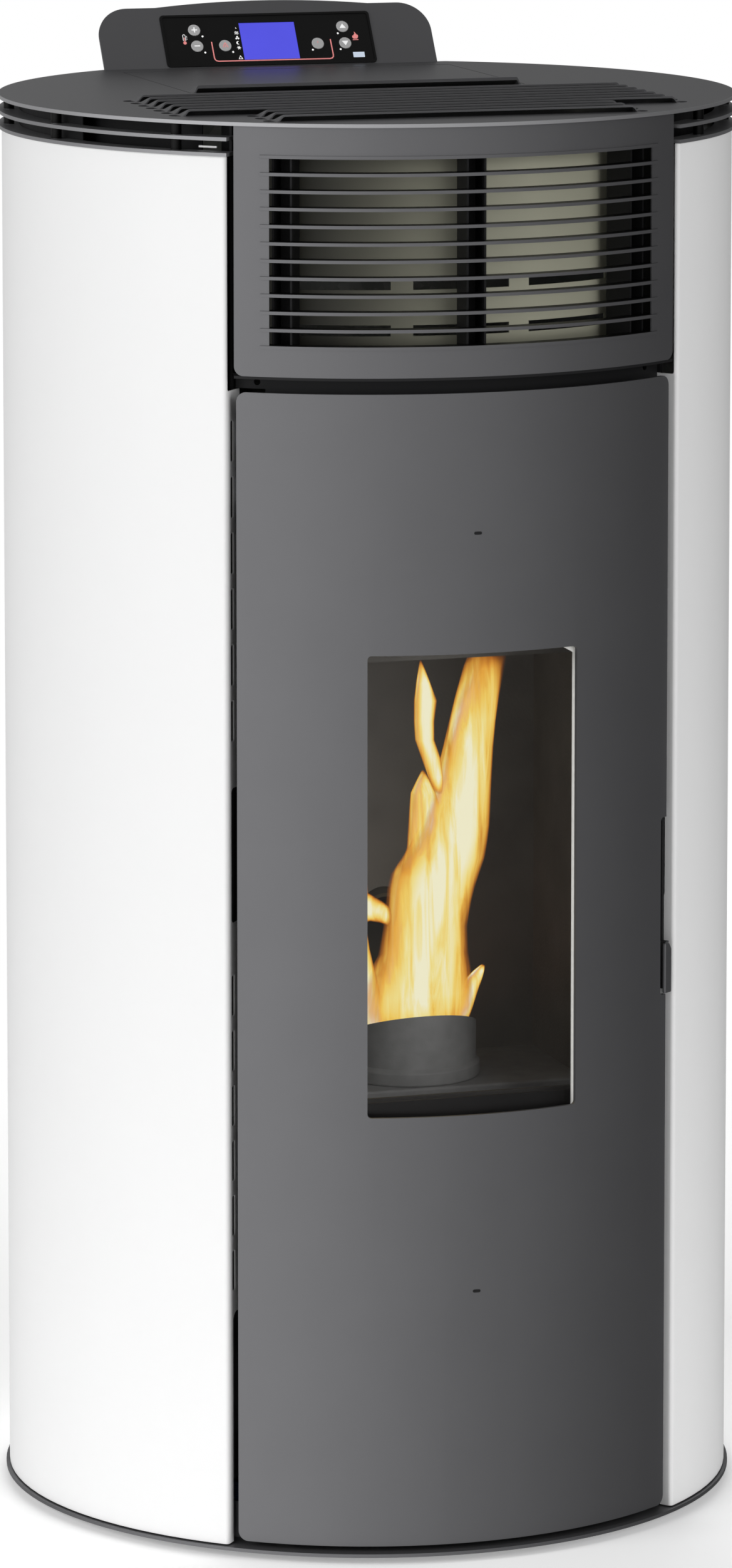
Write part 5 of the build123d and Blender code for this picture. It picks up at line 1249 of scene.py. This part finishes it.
class Inscription:
    """Flat symbols drawn on one plane and given a thin relief together."""

    mitre_limit: float = 0.4

    def __init__(self, relief: float = 0.12) -> None:
        """Start an empty drawing whose relief is in millimetres."""
        self.mesh = bmesh.new()
        self.relief = relief

    def polygon(self, points: Sequence[Point]) -> "Inscription":
        """Fill an outline given anticlockwise in millimetres."""
        self.mesh.faces.new([self.mesh.verts.new((x * MM, y * MM, 0.0)) for x, y in points])
        return self

    def disc(self, centre: Point, radius: float, segments: int = 16) -> "Inscription":
        """Fill a circle."""
        bmesh.ops.create_circle(self.mesh, cap_ends=True, segments=segments, radius=radius * MM,
                                matrix=Matrix.Translation((centre[0] * MM, centre[1] * MM, 0.0)))
        return self

    def ring(self, centre: Point, radius: float, width: float, segments: int = 20) -> "Inscription":
        """Draw a circle line that lies inside a radius.

        Args:
            centre: its middle in millimetres.
            radius: its outer radius.
            width: width of the line.
            segments: sides of its outline.

        Returns:
            This drawing.
        """
        made = bmesh.ops.create_circle(self.mesh, cap_ends=True, segments=segments, radius=radius * MM,
                                       matrix=Matrix.Translation((centre[0] * MM, centre[1] * MM, 0.0)))
        face = made["verts"][0].link_faces[0]
        bmesh.ops.inset_region(self.mesh, faces=[face], thickness=width * MM)
        bmesh.ops.delete(self.mesh, geom=[face], context="FACES_ONLY")
        return self

    def stroke(self, points: Sequence[Point], width: float) -> "Inscription":
        """Draw a line of even width through points, mitred at its corners.

        Args:
            points: its corners in millimetres.
            width: width of the line.

        Returns:
            This drawing.
        """
        path = [Vector((x, y)) for x, y in points]
        pairs = []
        for index, point in enumerate(path):
            before = (point - path[index - 1]).normalized() if index else (path[1] - point).normalized()
            after = (path[index + 1] - point).normalized() if index < len(path) - 1 else before
            normal = Vector((-(before + after).y, (before + after).x)).normalized()
            reach = width / 2 / max(self.mitre_limit, normal.dot(Vector((-before.y, before.x))))
            pairs.append([self.mesh.verts.new(((point + normal * s * reach) * MM).to_3d()) for s in (1, -1)])
        for (a, b), (c, d) in zip(pairs, pairs[1:]):
            self.mesh.faces.new((a, b, d, c))
        return self

    def finish(self, name: str, finish: Finish, place: Matrix, slot: Slot, body: str = Body.CABINET.value) -> Piece:
        """Raise the drawing and put it in place as a piece.

        Args:
            name: piece name.
            finish: what it is dressed with.
            place: where the drawing's plane lies, in metres.
            slot: the record's material slot it belongs to; not used.
            body: the body that it moves with.

        Returns:
            The piece.
        """
        grown = bmesh.ops.extrude_face_region(self.mesh, geom=list(self.mesh.faces), use_keep_orig=True)["geom"]
        bmesh.ops.translate(self.mesh, verts=verts_in(grown), vec=(0, 0, self.relief * MM))
        bmesh.ops.transform(self.mesh, matrix=place, verts=self.mesh.verts)
        return make_piece(name, self.mesh, finish, body)


class Symbol(Enum):
    """What each button shows."""

    PLUS = "button_plus"
    MINUS = "button_minus"
    UP = "button_up"
    DOWN = "button_down"
    HEAT = "button_heat"
    POWER = "button_power"


@dataclass
class ControlFace(Assembly):
    """Bezel, screen, buttons and the printed symbols round them."""

    coats: Coats = (
        (ABS, ("display_bezel", "display_cover")), (SCREEN, ("display_screen",)),
        (BUTTON, tuple(symbol.value for symbol in Symbol)))
    origin: Triple = (0.0, 239.0, 1071.6)
    lean: float = 33.3
    face: float = 0.3
    cap: float = 0.9
    cap_relief: float = 0.08
    guide_width: float = 0.9
    guide_line: Pairs = (
        (-50.4, 22.6), (-50.3, 8.4), (-49.9, 6.6), (-48.8, 5.5), (-47.0, 5.1), (44.6, 5.0), (46.5, 5.5),
        (47.5, 6.7), (47.8, 8.5), (47.6, 22.5))
    icon_x: float = -28.7
    icon_heights: tuple[float, ...] = (34.2, 30.0, 25.6, 21.2, 16.8, 12.4, 8.0)
    lamp_radius: float = 0.85
    lamps: Pairs = (
        (-57.0, 27.7), (-57.0, 13.2), (-34.1, 13.1), (31.7, 13.3), (54.7, 27.6), (54.7, 13.2))
    bulb: Pair = (-72.2, 22.2)
    flame_at: Pair = (68.4, 24.6)
    flame_outline: Pairs = (
        (-1.2, -2.2), (1.4, -2.2), (2.5, -0.9), (2.6, 0.6), (1.9, 1.8), (1.6, 0.9), (1.0, 2.6),
        (-0.2, 4.3), (0.0, 2.4), (-1.0, 1.2), (-1.3, 0.2), (-1.7, 0.9), (-2.4, -0.4), (-2.1, -1.5))
    window_relief: float = 0.2
    window_outline: Pairs = ((64.3, 5.6), (73.6, 5.6), (73.8, 10.3), (64.4, 10.3))
    buttons: tuple[tuple[Symbol, float, float], ...] = (
        (Symbol.PLUS, -63.0, 33.4), (Symbol.MINUS, -62.7, 19.0), (Symbol.HEAT, -39.7, 18.9),
        (Symbol.POWER, 36.7, 18.9), (Symbol.UP, 59.4, 33.6), (Symbol.DOWN, 59.4, 18.7))

    def pieces(self) -> list[Piece]:
        """Print the panel's symbols."""
        return [self.printed("guide_line", Inscription().stroke(self.guide_line, self.guide_width), RED_INK),
                self.printed("state_symbols", self.states(), WHITE_INK),
                self.printed("thermometer", self.thermometer(), WHITE_INK),
                self.printed("small_flame", self.reds(), RED_INK),
                self.printed("receiver_window", Inscription(self.window_relief).polygon(self.window_outline), SENSOR),
                *[self.button_symbol(*entry) for entry in self.buttons]]

    def plane(self, x: float = 0.0, s: float = 0.0, n: float = 0.0) -> Matrix:
        """Return the place at a point of the panel, z along its normal.

        Args:
            x: millimetres to the right.
            s: millimetres up the slope.
            n: millimetres out of the panel.

        Returns:
            The place in metres.
        """
        lean = math.radians(self.lean)
        up = Vector((0, math.sin(lean), math.cos(lean)))
        out = Vector((0, -math.cos(lean), math.sin(lean)))
        point = (Vector(self.origin) + Vector((x, 0, 0)) + up * s + out * n) * MM
        return Matrix.Translation(point) @ Matrix((Vector((1, 0, 0)), up, out)).transposed().to_4x4()

    def printed(self, name: str, drawing: Inscription, ink: Finish) -> Piece:
        """Print a drawing on the panel's face."""
        return drawing.finish(name, ink, self.plane(n=self.face), Slot.PLASTIC)

    def states(self) -> Inscription:
        """Draw the column of state symbols left of the screen and the lamps by the buttons.

        Returns:
            The drawing.
        """
        x = self.icon_x
        clock, wave, fan, moon, flake, gear, alarm = self.icon_heights
        drawing = Inscription().ring((x, clock), 1.6, 0.5)
        drawing.stroke(((x, clock + 0.9), (x, clock), (x + 0.7, clock)), 0.35)
        for step in (-0.9, 0.0, 0.9):
            drawing.stroke(((x - 1.5, wave + step), (x - 0.5, wave + step + 0.4), (x + 0.5, wave + step - 0.1),
                            (x + 1.5, wave + step + 0.3)), 0.4)
        for turn in (90, 210, 330):
            away = math.radians(turn)
            drawing.disc((x + math.cos(away), fan + math.sin(away)), 0.75, 10)
        bow = [math.radians(turn) for turn in range(60, 301, 30)]
        drawing.polygon([(x + 1.5 * math.cos(turn), moon + 1.5 * math.sin(turn)) for turn in bow]
                        + [(x - 0.1, moon - 0.8), (x - 0.5, moon), (x - 0.1, moon + 0.8)])
        for turn in (0, 60, 120):
            away = Vector((math.cos(math.radians(turn)), math.sin(math.radians(turn)))) * 1.6
            drawing.stroke(((x - away.x, flake - away.y), (x + away.x, flake + away.y)), 0.45)
        drawing.ring((x, gear), 1.6, 0.7)
        drawing.stroke(((x - 1.5, alarm - 1.2), (x, alarm + 1.5), (x + 1.5, alarm - 1.2), (x - 1.5, alarm - 1.2)),
                       0.45)
        for lamp in self.lamps:
            drawing.disc(lamp, self.lamp_radius, 8)
        return drawing

    def thermometer(self) -> Inscription:
        """Outline the thermometer at the left.

        Returns:
            The drawing.
        """
        x, s = self.bulb
        drawing = Inscription().ring((x, s), 2.2, 0.45)
        drawing.stroke(((x - 1.0, s + 1.9), (x - 1.0, s + 6.6), (x - 0.5, s + 7.4), (x + 0.5, s + 7.4),
                        (x + 1.0, s + 6.6), (x + 1.0, s + 1.9)), 0.4)
        for step in (3.4, 4.6, 5.8):
            drawing.stroke(((x + 1.6, s + step), (x + 2.4, s + step)), 0.35)
        return drawing

    def reds(self) -> Inscription:
        """Fill the thermometer's bulb and draw the small flame at the right.

        Returns:
            The drawing.
        """
        x, s = self.bulb
        drawing = Inscription().disc((x, s), 1.4).stroke(((x, s + 1.0), (x, s + 4.8)), 0.6)
        x, s = self.flame_at
        drawing.polygon([(x + a, s + b) for a, b in self.flame_outline])
        return drawing.stroke(((x - 2.2, s - 3.2), (x + 2.4, s - 3.2)), 0.6)

    def button_symbol(self, symbol: Symbol, x: float, s: float) -> Piece:
        """Print one button's symbol on its cap.

        Args:
            symbol: which button.
            x: millimetres across the panel to its centre.
            s: millimetres up the slope to its centre.

        Returns:
            The piece, riding on the button.
        """
        drawing = Inscription(self.cap_relief)
        if symbol in (Symbol.PLUS, Symbol.MINUS):
            drawing.stroke(((-2.3, 0), (2.3, 0)), 0.9)
        if symbol is Symbol.PLUS:
            drawing.stroke(((0, -2.3), (0, -0.45)), 0.9).stroke(((0, 0.45), (0, 2.3)), 0.9)
        if symbol is Symbol.UP:
            drawing.polygon(((-2.6, -1.6), (2.6, -1.6), (0.0, 2.4)))
        if symbol is Symbol.DOWN:
            drawing.polygon(((-2.6, 1.6), (0.0, -2.4), (2.6, 1.6)))
        if symbol is Symbol.HEAT:
            drawing.stroke(((-2.0, -1.8), (-0.9, 1.0), (0.0, 2.3), (0.9, 1.0), (2.0, -1.8)), 0.6)
            drawing.stroke(((0.0, -1.9), (0.0, 0.4)), 0.5)
        if symbol is Symbol.POWER:
            drawing.ring((0, 0), 2.6, 0.5).stroke(((0.0, 0.2), (0.0, 1.7)), 0.5)
        ink = RED_INK if symbol in (Symbol.HEAT, Symbol.POWER) else GREY_INK
        return drawing.finish("print_" + symbol.value, ink, self.plane(x, s, self.cap), Slot.BUTTON,
                              body_of(symbol.value))


@dataclass(frozen=True)
class Lamp:
    """A square soft lamp: how far and at which angle it hangs, its height and size in metres, and its watts."""

    name: str
    reach: float
    angle: float
    height: float
    size: float
    power: float


@dataclass
class Studio(Assembly):
    """Pale floor, soft lamps, a white surround, a tent for the gloss and the camera."""

    camera_at: Triple = (-1661.3, -5348.2, 1559.2)
    tilt: float = 7.31
    turn: float = -17.25
    lens: float = 169.71
    shift: float = -0.25
    sensor: float = 36.0
    world: float = 0.2
    aim: Triple = (0.0, 0.0, 0.6)
    lamps: tuple[Lamp, ...] = (
        Lamp("key", 3.2, -70.0, 1.5, 1.8, 66.0), Lamp("front fill", 3.6, 24.0, 1.3, 2.4, 62.0),
        Lamp("rear fill", 3.4, 163.0, 1.5, 2.4, 62.0), Lamp("overhead", 0.4, -60.0, 3.2, 2.0, 9.0))
    floor_colour: str = "#f6f6f6"
    floor_glow: float = 0.26
    floor_reach: Pair = (0.7, 1.9)
    tent_radius: float = 3.0
    tent_tones: Pairs = (
        (-180, 0.45), (-125, 0.4), (-75, 1.5), (-52, 1.6), (-20, 1.05), (20, 0.5), (60, 0.15), (92, 0.02),
        (140, 0.15), (180, 0.45))
    tent_crown: float = 0.3
    tent_shoulder: Pair = (0.5, 0.85)

    def pieces(self) -> list[Piece]:
        """Set up the studio."""
        self.surround()
        return [self.floor(), self.tent(), *[self.hang(lamp) for lamp in self.lamps], self.camera()]

    def surround(self) -> None:
        """Light softly from all round, and show white behind the object."""
        world = bpy.data.worlds.new("studio surround")
        bpy.context.scene.world = world
        world.use_nodes = True
        tree = world.node_tree
        background = tree.nodes["Background"]
        background.inputs["Color"].default_value = grey(1.0)
        paths = add_node(tree, "LightPath")
        seen: Any = paths.outputs["Is Camera Ray"]
        for ray in ("Is Glossy Ray", "Is Transmission Ray"):
            seen = add_node(tree, "Math", links={0: seen, 1: paths.outputs[ray]}, operation="MAXIMUM")
        add_node(tree, "MapRange", {"To Min": self.world, "To Max": 1.0}, {"Value": seen},
                 into=background.inputs["Strength"])

    def hang(self, lamp: Lamp) -> Piece:
        """Hang a lamp that looks at the middle of the stove and leaves gloss to the tent.

        Args:
            lamp: its place, size and power.

        Returns:
            The lamp's object.
        """
        data = bpy.data.lights.new(lamp.name, "AREA")
        data.size = lamp.size
        data.energy = lamp.power
        light = new_object(lamp.name, data)
        light.location = polar(lamp.reach / MM, lamp.angle, lamp.height / MM)
        light.rotation_euler = (Vector(self.aim) - light.location).to_track_quat("-Z", "Y").to_euler()
        light.visible_glossy = False
        return light

    def tent(self) -> Piece:
        """Stand a graded tent round the stove for its gloss alone: bright at the left, dark at the right.

        Returns:
            The tent, staged.
        """
        mesh = bmesh.new()
        bmesh.ops.create_uvsphere(mesh, u_segments=48, v_segments=24, radius=self.tent_radius)
        tent = new_object("tent", mesh)
        material, tree, shader = new_material("studio tent", grey(0.0), 0.5, 0.0)
        shader.inputs["Specular IOR Level"].default_value = 0.0
        place = add_node(tree, "TexCoord").outputs["Object"]
        parts = add_node(tree, "SeparateXYZ", links={"Vector": place})
        front = add_node(tree, "Math", {1: -1.0}, {0: parts.outputs["Y"]}, operation="MULTIPLY")
        turn = add_node(tree, "Math", links={0: parts.outputs["X"], 1: front}, operation="ARCTAN2")
        share = add_node(tree, "MapRange", {"From Min": -math.pi, "From Max": math.pi}, {"Value": turn})
        brightest = max(tone for _, tone in self.tent_tones)
        side = add_node(tree, "ValToRGB", links={"Fac": share},
                        stops=[((angle + 180) / 360, grey(tone / brightest)) for angle, tone in self.tent_tones])
        low, high = [level * self.tent_radius for level in self.tent_shoulder]
        rise = add_node(tree, "MapRange", {"From Min": low, "From Max": high}, {"Value": parts.outputs["Z"]},
                        interpolation_type="SMOOTHSTEP")
        tone = add_node(tree, "Mix", {7: grey(self.tent_crown / brightest)}, {0: rise, 6: side}, data_type="RGBA")
        tree.links.new(tone.outputs[2], shader.inputs["Emission Color"])
        shader.inputs["Emission Strength"].default_value = brightest
        tent.data.materials.append(material)
        tent.visible_camera = tent.visible_diffuse = tent.visible_shadow = tent.visible_transmission = False
        return tent

    def floor(self) -> Piece:
        """Lay the floor, which keeps the shadow and fades into the white surround.

        Returns:
            The floor, staged.
        """
        mesh = bmesh.new()
        bmesh.ops.create_circle(mesh, cap_ends=True, segments=96, radius=self.floor_reach[1] + 0.2)
        floor = new_object("floor", mesh)
        material, tree, shader = new_material("studio floor", srgb(self.floor_colour), 0.9, 0.0)
        shader.inputs["Specular IOR Level"].default_value = 0.0
        shader.inputs["Emission Color"].default_value = grey(1.0)
        shader.inputs["Emission Strength"].default_value = self.floor_glow
        place = add_node(tree, "TexCoord").outputs["Object"]
        distance = add_node(tree, "VectorMath", links={0: place}, operation="LENGTH")
        near, far = self.floor_reach
        add_node(tree, "MapRange", {"From Min": near, "From Max": far, "To Min": 1.0, "To Max": 0.0},
                 {"Value": distance.outputs["Value"]}, into=shader.inputs["Alpha"], interpolation_type="SMOOTHSTEP")
        floor.data.materials.append(material)
        floor.visible_glossy = False
        return floor

    def camera(self) -> Piece:
        """Aim the camera as in the reference view.

        Returns:
            The camera.
        """
        data = bpy.data.cameras.new("camera")
        data.sensor_fit = "VERTICAL"
        data.sensor_height = self.sensor
        data.lens = self.lens
        data.shift_y = self.shift
        data.clip_end = 50.0
        camera = new_object("camera", data)
        camera.location = Vector(self.camera_at) * MM
        camera.rotation_euler = (math.radians(90 - self.tilt), 0.0, math.radians(self.turn))
        bpy.context.scene.camera = camera
        return camera


def main() -> None:
    """Build every sub-assembly in order and report its pieces."""
    logging.basicConfig(level=logging.INFO, format="%(name)s: %(message)s")
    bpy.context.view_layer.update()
    bpy.context.scene.view_settings.view_transform = "Standard"
    for assembly in (Studio(), Cabinet(), TopDeck(), Grille(), Door(), Firebox(), FeedTrain(), AirAndFlue(),
                     ControlFace()):
        for piece in assembly.build():
            LOG.info("%s: %s", type(assembly).__name__, piece.name)


if __name__ == "__main__":
    main()
